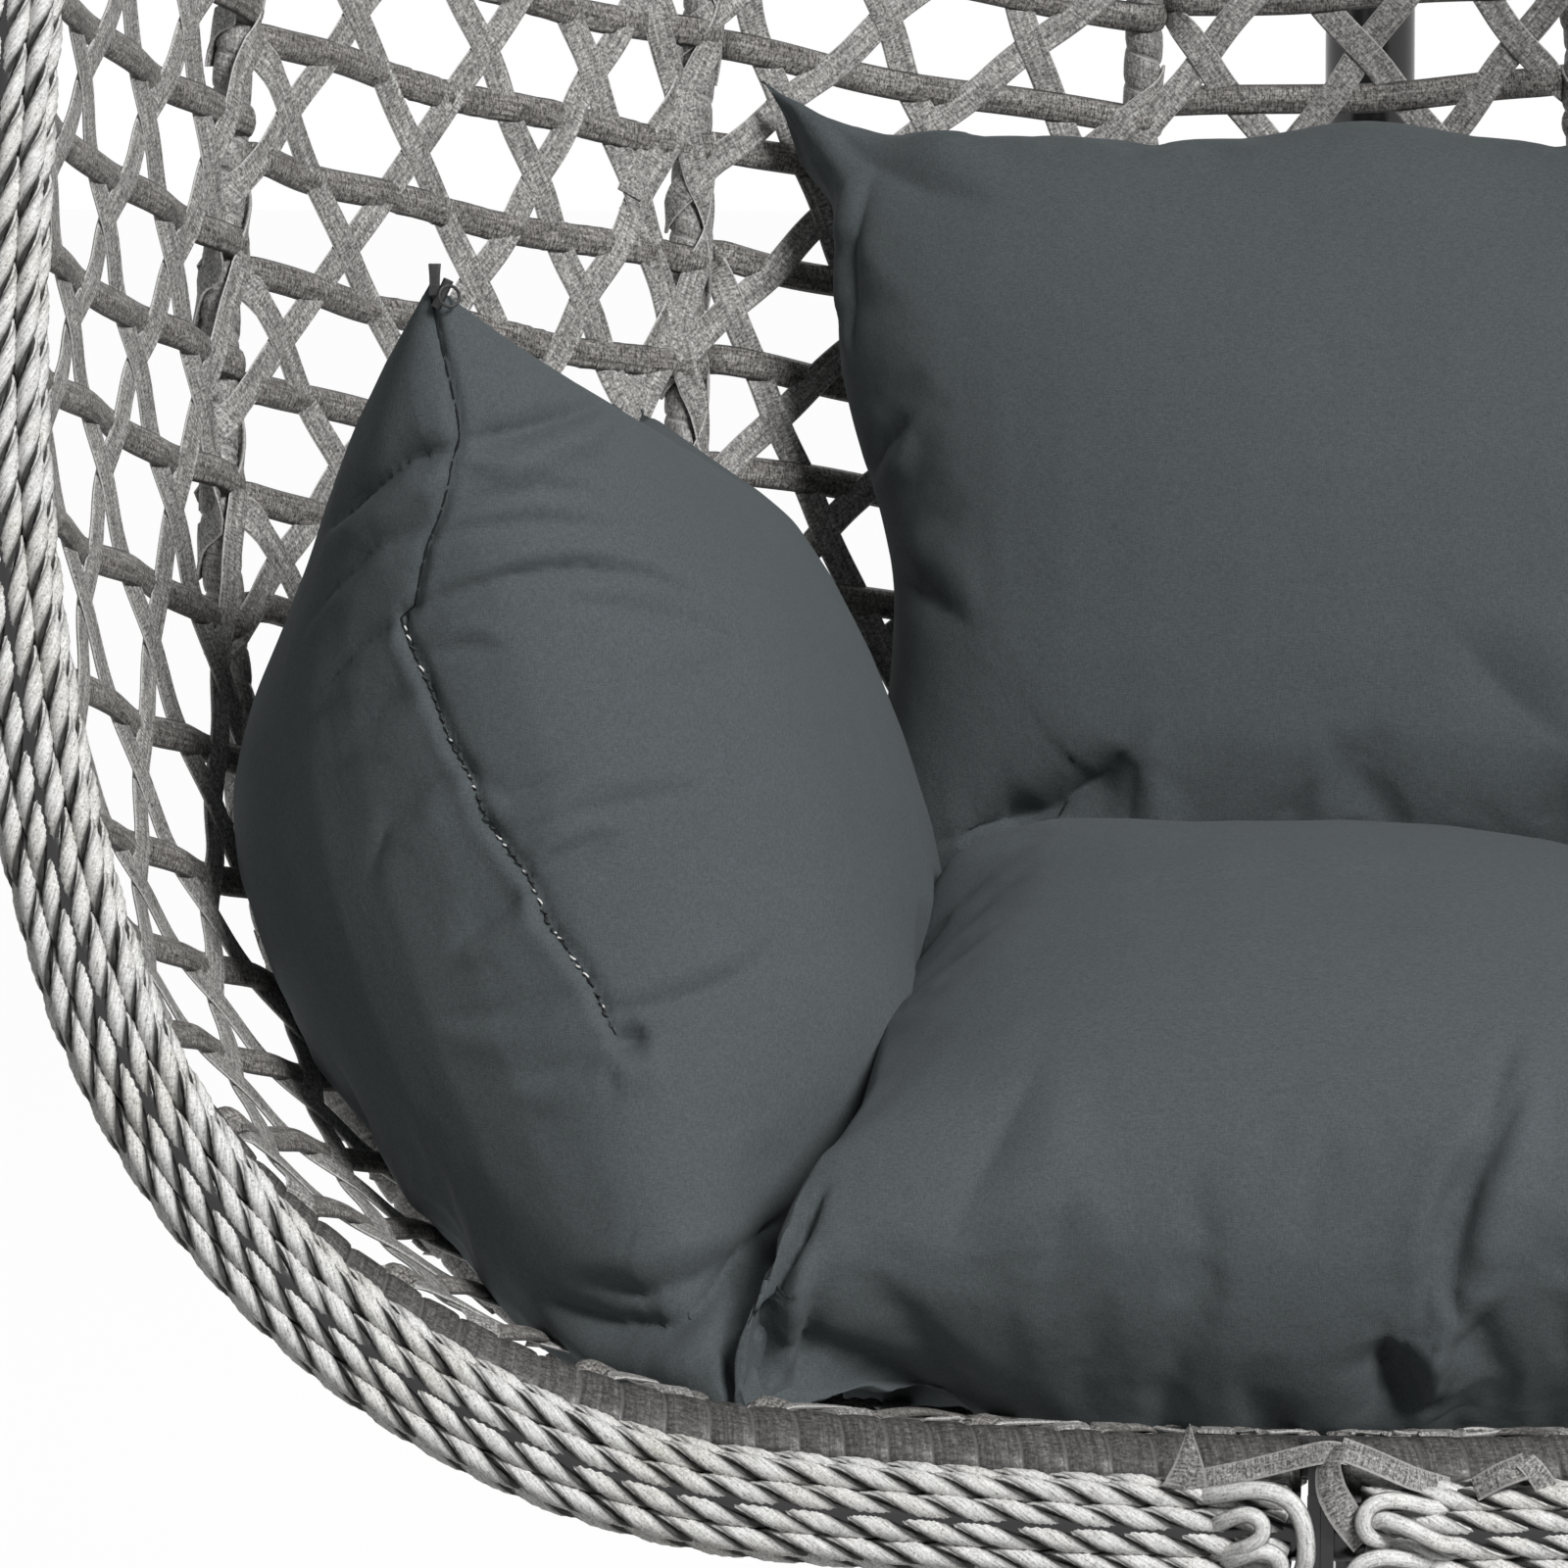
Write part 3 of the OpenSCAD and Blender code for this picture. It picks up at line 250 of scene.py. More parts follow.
def wrapped_tube(name, path, normal, plane, pitch, finish, hand=1, turn_steps=14, reach=0.0, towards=0.0):
    """A strip wound round a tube, turn against turn: one closed skin. It reaches further out where it lashes."""
    far = run_length(path)
    i = np.arange(-turn_steps, int(far[-1] / pitch * turn_steps) + turn_steps)
    t = hand * TAU * i / turn_steps
    rows = []
    for w, lift in WRAP_EDGE:
        s = (i / turn_steps + w) * pitch
        inside = np.clip(s, 0, far[-1])
        c, n = sample(inside, far, path), sample(inside, far, normal)
        r = WRAP_R + lift + .00012 * np.sin(s * 217 + t) + reach * np.clip(np.cos(t - towards), 0, 1) ** 3
        rows.append(c + r[:, None] * (np.cos(t)[:, None] * n + np.sin(t)[:, None] * plane))
    grid = np.stack(rows, 1)
    last = np.roll(grid[:, 0], -turn_steps, axis=0)
    last[-turn_steps:] = grid[-turn_steps:, -1]
    grid = np.concatenate([grid, last[:, None]], 1)
    n, m = grid.shape[:2]
    a, b = np.meshgrid(np.arange(n - 1), np.arange(m - 1), indexing="ij")
    quads = np.stack([a * m + b, a * m + b + 1, (a + 1) * m + b + 1, (a + 1) * m + b], -1).reshape(-1, 4)
    places = np.array([w for w, _ in WRAP_EDGE] + [1.0])
    bundle = Bundle()
    bundle.points, bundle.faces, bundle.count = [grid.reshape(-1, 3)], [quads], n * m
    bundle.lay = [np.stack([np.repeat(np.arange(n) / turn_steps * TAU * WRAP_R, m), np.tile(places, n)], 1)]
    piece = bundle.make(name, finish)
    recalculate(piece, merge=2e-5)
    return piece


# ---------------- finishes
def put(tree, kind, inputs=None, **settings):
    node = tree.nodes.new("ShaderNode" + kind)
    for key, value in settings.items():
        setattr(node, key, value)
    for key, value in (inputs or {}).items():
        if isinstance(value, bpy.types.NodeSocket):
            tree.links.new(value, node.inputs[key])
        else:
            node.inputs[key].default_value = value
    return node


def finish(name, colour, rough, metallic=0.0, **sockets):
    """A new material, its shader, and the place in the object that its patterns start from."""
    mat = bpy.data.materials.new(name)
    mat.use_nodes = True
    shader = mat.node_tree.nodes["Principled BSDF"]
    shader.inputs["Base Color"].default_value = (*colour, 1)
    shader.inputs["Roughness"].default_value = rough
    shader.inputs["Metallic"].default_value = metallic
    for key, value in sockets.items():
        shader.inputs[key.replace("_", " ")].default_value = value
    return mat, shader, put(mat.node_tree, "TexCoord").outputs["Object"]


def feed(shader, key, socket):
    shader.id_data.links.new(socket, shader.inputs[key])


def noise(where, scale, detail, rough=0.5, twist=0.0):
    return put(where.id_data, "TexNoise", {"Vector": where, "Scale": scale, "Detail": detail,
                                           "Roughness": rough, "Distortion": twist}).outputs["Fac"]


def maths(how, a, b=0.0):
    return put(a.id_data, "Math", {0: a, 1: b}, operation=how).outputs[0]


def ramp(value, stops):
    """Colours, or greys as one number, at places from 0 to 1."""
    node = put(value.id_data, "ValToRGB", {"Fac": value})
    bar = node.color_ramp
    while len(bar.elements) < len(stops):
        bar.elements.new(0.5)
    for e, (place, c) in zip(bar.elements, stops):
        e.position = place
        e.color = (*c, 1) if isinstance(c, tuple) else (c, c, c, 1)
    return node.outputs["Color"]


def bump(shader, height, distance, strength, before=None):
    node = put(shader.id_data, "Bump", {"Height": height, "Distance": distance, "Strength": strength})
    if before is not None:
        feed(node, "Normal", before)
    feed(shader, "Normal", node.outputs["Normal"])
    return node.outputs["Normal"]


def mixed(amount, a, b, how="MIX"):
    b = b if isinstance(b, bpy.types.NodeSocket) else (*b, 1)
    return put(a.id_data, "Mix", {0: amount, 6: a, 7: b}, data_type="RGBA", blend_type=how).outputs[2]


def stretched(where, scale):
    return put(where.id_data, "Mapping", {"Vector": where, "Scale": scale}).outputs["Vector"]


def off_line(lay, line):
    """How far across a strip from a line on it, as a share of the way round or across."""
    across = put(lay.id_data, "SeparateXYZ", {"Vector": lay}).outputs["Y"]
    return maths("ABSOLUTE", maths("SUBTRACT", across, line))


def gloss_black():
    mat, shader, at = finish("gloss_black_paint", (0.011, 0.011, 0.012), 0.22, Specular_IOR_Level=0.55)
    rub = noise(at, 14.0, 6.0)
    feed(shader, "Roughness", ramp(rub, [(0.35, 0.17), (0.75, 0.33)]))
    feed(shader, "Base Color", ramp(rub, [(0.4, (0.010, 0.010, 0.011)), (0.8, (0.02, 0.019, 0.019))]))
    bump(shader, noise(at, 260.0, 2.0), 0.0002, 0.25)
    return mat


def zinc():
    mat, shader, at = finish("bright_zinc", (0.5, 0.5, 0.49), 0.32, metallic=1.0)
    spangle = put(at.id_data, "TexVoronoi", {"Vector": at, "Scale": 420.0}).outputs["Distance"]
    cloud = noise(at, 60.0, 5.0)
    feed(shader, "Base Color", ramp(cloud, [(0.3, (0.36, 0.36, 0.35)), (0.7, (0.6, 0.6, 0.58))]))
    feed(shader, "Roughness", ramp(cloud, [(0.3, 0.24), (0.7, 0.42)]))
    bump(shader, spangle, 0.0001, 0.3)
    return mat


def moulded(name, colour, rough, grain):
    mat, shader, at = finish(name, colour, rough)
    speck = noise(at, grain, 4.0)
    shades = [(0.35, tuple(c * 0.6 for c in colour)), (0.7, tuple(c * 1.5 for c in colour))]
    feed(shader, "Base Color", ramp(speck, shades))
    feed(shader, "Roughness", ramp(speck, [(0.3, rough - 0.08), (0.7, rough + 0.08)]))
    bump(shader, speck, 0.0003, 0.4)
    return mat


def strip_finish(name, dark, middle, light, painted_edge, painted_edge_width, fleck, rough=0.5):
    """Plastic strip that copies rush: streaks along it, short flecks across it, and edges painted in a colour of their
    own: a painted highlight where they are paler than the strip, painted contact shade where they are darker.
    """
    mat, shader, at = finish(name, middle, rough, Specular_IOR_Level=0.35)
    lay = put(at.id_data, "UVMap", uv_map="lay").outputs["UV"]
    streak = noise(stretched(lay, (35.0, 9.0, 1.0)), 1.0, 5.0, 0.7)
    flecks = noise(stretched(lay, (1100.0, 3.2, 1.0)), 1.0, 3.0, 0.65)
    flecks = maths("MULTIPLY", maths("ADD", flecks, noise(at, 850.0, 2.0, 0.6)), 0.5)
    patches = ramp(noise(at, 45.0, 3.0), [(0.35, 0.35), (0.65, 0.65)])
    tinted = mixed(0.3, ramp(streak, [(0.3, dark), (0.5, middle), (0.72, light)]), patches, "OVERLAY")
    specks = ramp(flecks, [(0.42, 0.10), (0.48, 0.44), (0.53, 0.56), (0.59, 0.97)])
    spotted = mixed(fleck, tinted, specks, "OVERLAY")
    # the edges get their own colour: paler edges are a painted highlight, darker ones painted contact shade
    rim = ramp(off_line(lay, 0.5), [(0.5 - painted_edge_width * 1.6, 0), (0.5 - painted_edge_width, 0.75), (0.5, 0.55)])
    feed(shader, "Base Color", mixed(rim, spotted, painted_edge))
    feed(shader, "Roughness", ramp(flecks, [(0.4, rough + 0.12), (0.65, rough - 0.1)]))
    bump(shader, streak, 0.0004, 0.4, bump(shader, flecks, 0.0002, 0.45))
    return mat


def rope_finish():
    """Pale plaiting cord: chalky, with fine dark and light flecks, and painted shade darkening each strand towards the
    hollows between strands.
    """
    mat, shader, at = finish("rim_rope", (0.6, 0.59, 0.56), 0.6, Specular_IOR_Level=0.3)
    lay = put(at.id_data, "UVMap", uv_map="lay").outputs["UV"]
    flecks = noise(at, 900.0, 3.0, 0.75)
    drawn = noise(stretched(lay, (160.0, 24.0, 1.0)), 1.0, 4.0)
    base = ramp(drawn, [(0.3, (0.40, 0.395, 0.385)), (0.5, (0.64, 0.635, 0.62)), (0.7, (0.80, 0.797, 0.785))])
    tint = mixed(ramp(noise(at, 22.0, 3.0), [(0.5, 0), (0.75, 0.55)]), base, (0.48, 0.455, 0.39))
    speck = ramp(flecks, [(0.36, 0.05), (0.45, 0.48), (0.56, 0.52), (0.66, 0.9)])
    # painted shade: each strand darkened towards its sides and back, where the hollows between strands lie
    painted_hollow_shade = ramp(off_line(lay, 0.25), [(0.14, 1), (0.215, 0.5), (0.27, 0.07)])
    feed(shader, "Base Color", mixed(1.0, mixed(0.75, tint, speck, "OVERLAY"), painted_hollow_shade, "MULTIPLY"))
    bump(shader, drawn, 0.0005, 0.5, bump(shader, flecks, 0.0003, 0.5))
    return mat


def cloth(name, thread=(0.072, 0.083, 0.087)):
    """Matt polyester canvas: crossed threads, a little fuzz, and slight clouding."""
    mat, shader, at = finish(name, thread, 0.85, Specular_IOR_Level=0.2, Sheen_Weight=0.04, Sheen_Roughness=0.6,
                             Sheen_Tint=(0.62, 0.66, 0.7, 1))
    warp = noise(stretched(at, (2400.0, 900.0, 420.0)), 1.0, 1.0)
    weft = noise(stretched(at, (420.0, 900.0, 2400.0)), 1.0, 1.0)
    threads = maths("ADD", maths("ADD", warp, weft), noise(at, 2600.0, 1.0))
    mapped = put(at.id_data, "MapRange", {"Value": threads, "From Min": 1.15, "From Max": 1.85})
    shades = [(0.0, tuple(c * 0.78 for c in thread)), (1.0, tuple(c * 1.25 for c in thread))]
    clouds = ramp(noise(at, 9.0, 4.0), [(0.3, 0.46), (0.7, 0.54)])
    feed(shader, "Base Color", mixed(0.5, ramp(mapped.outputs["Result"], shades), clouds, "OVERLAY"))
    bump(shader, noise(at, 34.0, 3.0, twist=0.6), 0.004, 0.25, bump(shader, threads, 0.0003, 0.4))
    return mat


def finish_thread():
    mat, shader, at = finish("closing_thread", (0.6, 0.6, 0.58), 0.6)
    two = ramp(noise(at, 130.0, 1.0), [(0.56, (0.012, 0.013, 0.014)), (0.62, (0.72, 0.72, 0.70))])
    feed(shader, "Base Color", two)
    return mat


black = gloss_black()
steel = zinc()
rubber = moulded("foot_rubber", (0.02, 0.02, 0.02), 0.75, 500.0)
plastic = moulded("zip_plastic", (0.018, 0.018, 0.019), 0.4, 800.0)
# dark, middle and light of the streaks, the colour of the painted edges (a painted highlight, on the cord painted
# contact shade), their width, the flecks' strength, the roughness
skin_strip = strip_finish("rush_strip", (0.115, 0.112, 0.105), (0.272, 0.267, 0.256), (0.48, 0.472, 0.455),
                          (0.58, 0.575, 0.56), 0.03, 0.78)
loose_end = strip_finish("loose_strip", (0.09, 0.087, 0.082), (0.21, 0.205, 0.197), (0.36, 0.354, 0.342),
                         (0.34, 0.335, 0.325), 0.012, 0.9)
# the cord's edges are painted darker than its middle: painted contact shade
row_strip = strip_finish("rush_cord", (0.075, 0.069, 0.064), (0.185, 0.175, 0.165), (0.33, 0.318, 0.30),
                         (0.07, 0.066, 0.063), 0.05, 0.95)
wrap_strip = strip_finish("rib_wrap", (0.11, 0.107, 0.10), (0.235, 0.228, 0.218), (0.37, 0.362, 0.35),
                          (0.46, 0.455, 0.44), 0.04, 0.75, 0.42)
# the ribs' rush strip painted far darker for the hoop: painted shade, with its paler edges a painted highlight
hoop_strip_painted_shade = strip_finish("hoop_wrap_painted_shade", (0.025, 0.024, 0.023), (0.065, 0.063, 0.06), (0.13, 0.126, 0.12),
                          (0.11, 0.107, 0.103), 0.03, 0.75, 0.42)
rope = rope_finish()
slate = cloth("slate_canvas")
# a near-black cloth for the seams' lines: painted shade
painted_seam_shade = cloth("seam_shadow", (0.012, 0.014, 0.015))

SLOTS = {"black_steel": black, "zinc_steel": steel, "black_rubber": rubber, "black_plastic": plastic,
         "pale_braid": rope, "wrapped_tube": wrap_strip, "grey_strip": skin_strip, "slate_fabric": slate}
for part in frame["record"]["subparts"]:
    solid, look = nodes.get(part.get("node")), SLOTS.get(part.get("material_slot"))
    if solid and look:
        if not solid.data.materials:
            solid.data.materials.append(look)
        for place in range(len(solid.data.materials)):
            solid.data.materials[place] = look


# ---------------- ribs and hoops
def rib_line(a, first, lift=LIFT, behind=HOOP_Y):
    """Points and normals along the rib at direction a, from a distance first off the middle."""
    g = section(a, lift, ALONG)
    g = g[g[:, 1] > first]
    ca, sa = -math.cos(a), math.sin(a)
    p = np.stack([g[:, 1] * ca, behind + g[:, 1] * sa, g[:, 2]], 1)
    return p, np.stack([g[:, 3] * ca, g[:, 3] * sa, g[:, 4]], 1)


for side, hand, names in (("left", -1, RIBS[:3]), ("right", 1, RIBS[:2:-1])):
    for name, degrees in zip(("outer", "middle", "centre"), names):
        a = math.radians(degrees)
        line, normal = rib_line(a, HUB_R)
        plane = turned(np.array([[math.sin(a), math.cos(a), 0.0]]))
        rib = wrapped_tube(f"wrapped_rib_{name}_{side}", hung(line), turned(normal), plane, 0.0163, wrap_strip)
        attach(rib, "basket")
        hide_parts(f"rib_{name}_{side}")
    line, normal = rib_line(0.0 if side == "left" else math.pi, 0.0052)
    plane = turned(np.array([[0.0, 1.0, 0.0]]))
    hoop = wrapped_tube(f"wrapped_hoop_{side}", hung(line), turned(normal), plane, 0.0172, hoop_strip_painted_shade, hand, 16,
                        reach=0.0105, towards=math.radians(-40))
    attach(hoop, "basket")
    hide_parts(f"hoop_{side}")


# ---------------- woven skin
PANELS = {
    # the panel's two ribs in degrees, the heights of its rows, the row that its columns are set out from,
    # and how far its rows tilt and drop, counted in rows
    "side": (0.0, 30.5, [0.270, 0.329, 0.392, 0.450, 0.4985, 0.549, 0.600], 4, -0.42, -0.07),
    "outer": (30.5, 61.0, [0.424, 0.4715, 0.519, 0.567, 0.6187, 0.667], 2, -0.28, -0.15),
    "middle": (61.0, 81.0, [0.4095, 0.460, 0.506, 0.552, 0.602, 0.645, 0.693, 0.740], 5, -0.47, 0.0),
    "centre": (81.0, 99.0, [0.410, 0.457, 0.504, 0.551, 0.598, 0.645, 0.690, 0.736], 5, 0.23, -0.05),
}
FLAT = flat_strip(0.0129, 0.0016)
ROW = half_moon(0.0134, 0.0036)
CROSS_LIFT = 0.00095      # how far two strips part where they cross
WRAP = 0.021              # how far a strip's end goes round the rib
TURN_IN = 0.012           # a strip that passes behind a rib turns in over this distance
ROW_GAP = 0.0475          # between rows that aren't listed, along the rib
FINE = 0.0036             # between two points of a strip
OPEN_MIDDLE = 0.05        # no strip comes nearer to the hubs' line than this
GAUGE = section(math.radians(60))     # the rib that heights are measured along


def row_heights(seen):
    """Rows listed, carried on down to the lower hub and up to the crown at an even spacing."""
    far = np.interp(seen, GAUGE[:, 2], GAUGE[:, 0])
    down = np.arange(far[0] - ROW_GAP, 0.06, -ROW_GAP)[::-1]
    up = np.arange(far[-1] + ROW_GAP, GAUGE[-1, 0] - 0.06, ROW_GAP)
    return np.interp(np.concatenate([down, far, up]), GAUGE[:, 0], GAUGE[:, 2]), len(down)


def across_panel(first, last, heights):
    """Directions, and for each height the distance along the row from the panel's first rib to them."""
    a = np.linspace(math.radians(first), math.radians(last), 61)
    p, _ = on_skin(a[:, None], heights[None, :])
    gap = np.linalg.norm(np.diff(p, axis=0), axis=2)
    return a, np.concatenate([np.zeros((1, len(heights))), np.cumsum(gap, axis=0)])


def column_place(kind, u, width, row):
    """Column u's distance from the panel's first rib, at a row counted from the key row."""
    if kind == "side":
        return 0.088 + 0.096 * u - 0.009 * u * u
    if kind == "outer":
        return width - (0.033 + 0.053 * u + 0.009 * u * u)
    if kind == "middle":
        return 0.0535 + 0.073 * u + 0.011 * (row - 0.5)
    return width / 2 + 0.0717 * (u - 0.5)


def weave_panel(bundle, kind, mirror):
    first, last, seen, key_row, tilt, drop = PANELS[kind]
    heights, skipped = row_heights(seen)
    rows = np.arange(len(heights))
    key = skipped + key_row
    fine = np.arange(-0.75, len(heights) - 0.25, 1 / 8)      # lattice rows, finer, and past both ends
    far = np.interp(heights, GAUGE[:, 2], GAUGE[:, 0])
    below, above = np.polyfit(rows[:3], far[:3], 1), np.polyfit(rows[-3:], far[-3:], 1)
    far = np.where(fine < 0, np.polyval(below, fine),
                   np.where(fine > rows[-1], np.polyval(above, fine), np.interp(fine, rows, far)))
    fine_z = np.interp(far, GAUGE[:, 0], GAUGE[:, 2])
    a, reach = across_panel(first, last, fine_z)
    full = reach[-1]

    def directions(i, dist):
        """Direction of each point at lattice row i and a distance along the row."""
        col = np.interp(i, fine, np.arange(len(fine)))
        c = np.clip(col.astype(int), 0, len(fine) - 2)
        f = col - c
        return np.array([np.interp(d, reach[:, k] * (1 - g) + reach[:, k + 1] * g, a) for d, k, g in zip(dist, c, f)])

    def run(i, dist, lift, is_row, under):
        """One strip; under tells for each of its two ribs whether it goes behind it."""
        width = np.interp(i, fine, full)
        i = i + drop + tilt * (np.clip(dist / width, 0, 1) - 0.5)
        low, high = [0.001 if behind else WRAP for behind in under]
        inside = (dist > -low) & (dist < width + high)
        z, ang = np.interp(i, fine, fine_z), directions(i, np.clip(dist, 0, width))
        lift = lift * np.clip(np.minimum(dist, width - dist) / TURN_IN, 0, 1)
        inward, lean_to = WEAVE_IN + lift, np.zeros(len(dist))
        for behind, to_rib, sign in ((under[0], dist, 1), (under[1], width - dist, -1)):
            if behind:
                to_rib = np.maximum(to_rib, 0)
                turn = 1 - np.clip((to_rib - WEAVE_IN) / TURN_IN, 0, 1)
                past = to_rib < WEAVE_IN
                inward = np.where(past, -np.sqrt(np.maximum(WEAVE_IN ** 2 - to_rib ** 2, 0)),
                                  inward * np.sqrt(1 - turn ** 2))
                lean_to = np.where(past, -sign * to_rib / WEAVE_IN, np.where(turn > 0, -sign * turn, lean_to))
        p, n = on_skin(ang, z, inward)
        middle, _ = on_skin(ang, z, 0.0)
        ahead, behind = [on_skin(np.clip(ang + step, 0, math.pi), z, 0.0)[0] for step in (0.002, -0.002)]
        along = ahead - behind
        along -= n * np.sum(along * n, axis=1, keepdims=True)
        along /= np.linalg.norm(along, axis=1, keepdims=True)
        face = n * np.sqrt(np.maximum(1 - lean_to ** 2, 0))[:, None] + along * lean_to[:, None]
        # the ends that go round the front of a rib
        over = np.where((dist < 0) & (not under[0]), dist, np.where(under[1], 0, np.maximum(dist - width, 0)))
        bend = over / WEAVE_IN
        arm = n * np.cos(bend)[:, None] + along * np.sin(bend)[:, None]
        on_rib = (over != 0)[:, None]
        p = np.where(on_rib, middle + arm * (WEAVE_IN - 0.0002 * np.abs(bend))[:, None], p)
        n = np.where(on_rib, arm, face)
        inside &= np.hypot(p[:, 0], p[:, 1] - HOOP_Y) > OPEN_MIDDLE
        edges = np.flatnonzero(np.diff(np.concatenate([[0], inside.astype(int), [0]])))
        for start, stop in zip(edges[::2], edges[1::2]):
            if stop - start < 3:
                continue
            points, facing = hung(p[start:stop]), turned(n[start:stop])
            if mirror:
                points, facing = points * [-1, 1, 1], facing * [-1, 1, 1]
            bundle[is_row].add(points, *square_to(points, facing), ROW if is_row else FLAT)

    for r in rows:
        width = float(np.interp(r, fine, full))
        dist = np.linspace(-WRAP, width + WRAP, max(8, int(width / FINE)))
        columns = np.linspace(-8, 8, 400)
        places = column_place(kind, columns, width, r - key)
        order = np.argsort(places)
        u = np.interp(dist, places[order], columns[order])
        lift = -CROSS_LIFT * 1.5 * np.cos(TAU * (u - 0.25 - (r - key) / 2))
        sway = 0.022 * np.sin(dist * 45 + r * 2.1) + (0.06 if kind in ("outer", "centre") else -0.06)
        run(r + sway, dist, lift, True, (True, kind == "centre"))
    # the slanting strips
    i = np.arange(-0.7, len(heights) - 0.3, FINE / 0.058)
    widths = np.interp(i, fine, full)
    for m in range(-30, 31):
        for hand in (1, -1):
            slope = -hand if kind == "outer" else hand
            u = m + 0.5 + slope * (i - key - 0.5) / 2
            good = (u > -6) & (u < 6)
            if good.sum() < 4:
                continue
            dist = column_place(kind, np.clip(u, -6, 6), widths, i - key)
            dist = dist + 0.0009 * np.sin(TAU * i + m * 1.7 + hand) + 0.0014 * np.sin(i * 1.3 + m * 2.9)
            lift = hand * CROSS_LIFT * np.cos(TAU * i)
            run(i, np.where(good, dist, -1.0), lift, False, (hand < 0 or kind == "side", hand < 0))


skins = {side: (Bundle(), Bundle()) for side in ("left", "back", "right")}
for kind in PANELS:
    for side in ("left",) if kind == "centre" else ("left", "right"):
        weave_panel(skins[side if kind in ("side", "outer") else "back"], kind, side == "right")
for side, (flats, rows) in skins.items():
    for bundle, name, mat in ((flats, "slant_strips", skin_strip), (rows, "row_strips", row_strip)):
        piece = bundle.make(f"{name}_{side}", mat)
        if name == "slant_strips":
            choose(piece)
            bpy.ops.object.shade_smooth_by_angle(angle=math.radians(32))
        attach(piece, "basket")
        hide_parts(f"weave_{side}")


# ---------------- plaited rim
# the ropes' middles round the rim tube, out and back, in millimetres
PLAIT = [(-13.6, -5.6), (-4.6, -7.2), (4.6, -7.2), (13.6, -5.6), (16.4, 0), (13.6, 5.6), (4.6, 7.2), (-4.6, 7.2),
         (-13.6, 5.6), (-16.4, 0)]
ROPE_TURN, STRAND_OUT, STRAND_W, STRAND_T = 0.0430, 0.0024, 0.0077, 0.0056
for side, sign, a, first in (("left", -1, 0.0, 0.0105), ("right", 1, math.pi, 0.0125)):
    p, n = rib_line(a, first, 0.0, 0.0)
    far = run_length(p)
    s = np.arange(0, far[-1], 0.0032)
    c, out = sample(s, far, p), sample(s, far, n)
    deep = np.array([0.0, 1.0, 0.0])
    bundle = Bundle()
    rng = np.random.default_rng(4)
    for r, y in PLAIT:
        phase = rng.uniform(0, TAU)
        middle = c + out * r / 1000 + deep * y / 1000
        for strand in (0, math.pi):
            wobble = 0.25 * np.interp(s, np.linspace(0, far[-1], 40), rng.uniform(-1, 1, 40))
            f = sign * TAU * s / ROPE_TURN + phase + strand + wobble
            push = np.cos(f)[:, None] * out + np.sin(f)[:, None] * deep
            path = hung(middle + push * STRAND_OUT)
            fat = 1 + 0.10 * np.interp(s, np.linspace(0, far[-1], 150), rng.uniform(-1, 1, 150))
            size = np.stack([STRAND_W * fat, STRAND_T * fat, np.ones(len(s))], 1)[:, None]
            bundle.add(path, *square_to(path, turned(push)), np.array(round_strand(1, 1, 8)) * size)
    plait = bundle.make(f"plaited_rim_{side}", rope)
    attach(plait, "basket")
    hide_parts(f"rim_braid_{side}")


# ---------------- suspension spring
def coil_spring(low, high, wire=0.00275, turns=20, radius=0.01825):
    t = np.linspace(0, TAU * turns, turns * 24 + 1)
    out = np.stack([np.cos(t), np.sin(t), 0 * t], 1)
    middle = (low + high) / 2
    path = out * radius + [middle.x, middle.y, 0]
    path[:, 2] = np.linspace(low.z + wire, high.z - wire, len(t))
    bundle = Bundle()
    bundle.add(path, *square_to(path, out), round_strand(2 * wire, 2 * wire, 10))
    return bundle.make("coil_spring", steel)


low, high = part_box("suspension_spring")
spring = coil_spring(low, high)
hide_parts("suspension_spring")
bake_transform(spring)


# ---------------- cushions
# the front view that seams and folds are placed in: where from, which way, its middle and its focal length
VIEW = Vector((0.081, -4.2203, 1.08086))
AHEAD = Vector((-773, 10318, -914)).normalized()
RIGHT = AHEAD.cross(Vector((0, 0, 1))).normalized()
UP = RIGHT.cross(AHEAD)
MIDDLE, FOCUS = 800, 10318.0
STUFF_FRAMES = 20


def sight(x, y):
    """From the front view's place towards a point x across and y down."""
    return (AHEAD * FOCUS + RIGHT * (x - MIDDLE) - UP * (y - MIDDLE)).normalized()


def flattened(pts):
    """Points in the front view: x, y and how far ahead."""
    right, up, far = ((pts - np.array(VIEW)) @ np.array(way) for way in (RIGHT, UP, AHEAD))
    return np.stack([MIDDLE + FOCUS * right / far, MIDDLE - FOCUS * up / far, far], 1)


def points_of(piece, what="co"):
    pts = np.empty(len(piece.data.vertices) * 3, np.float32)
    piece.data.vertices.foreach_get(what, pts)
    return pts.reshape(-1, 3).astype(float)


def move_to(piece, pts):
    piece.data.vertices.foreach_set("co", pts.astype(np.float32).ravel())
    piece.data.update()


def apply(piece, kind, **settings):
    mod = piece.modifiers.new(kind.lower(), kind)
    for key, value in settings.items():
        setattr(mod, key, value)
    choose(piece)
    bpy.ops.object.modifier_apply(modifier=mod.name)


def cover_of(name, voxel=0.0052):
    """The cushion's own solid as a fine, even skin, ready to be stuffed."""
    piece = bpy.data.objects.new(f"{name}_cover", nodes[name].data.copy())
    bpy.context.scene.collection.objects.link(piece)
    recalculate(piece, merge=1e-5)
    form = tree_of(piece)
    choose(piece)
    piece.data.remesh_voxel_size = voxel
    bpy.ops.object.voxel_remesh()
    apply(piece, "SMOOTH", iterations=3, factor=0.5)
    return piece, form


def tree_of(piece):
    bm = bmesh.new()
    bm.from_mesh(piece.data)
    tree = BVHTree.FromBMesh(bm)
    bm.free()
    return tree


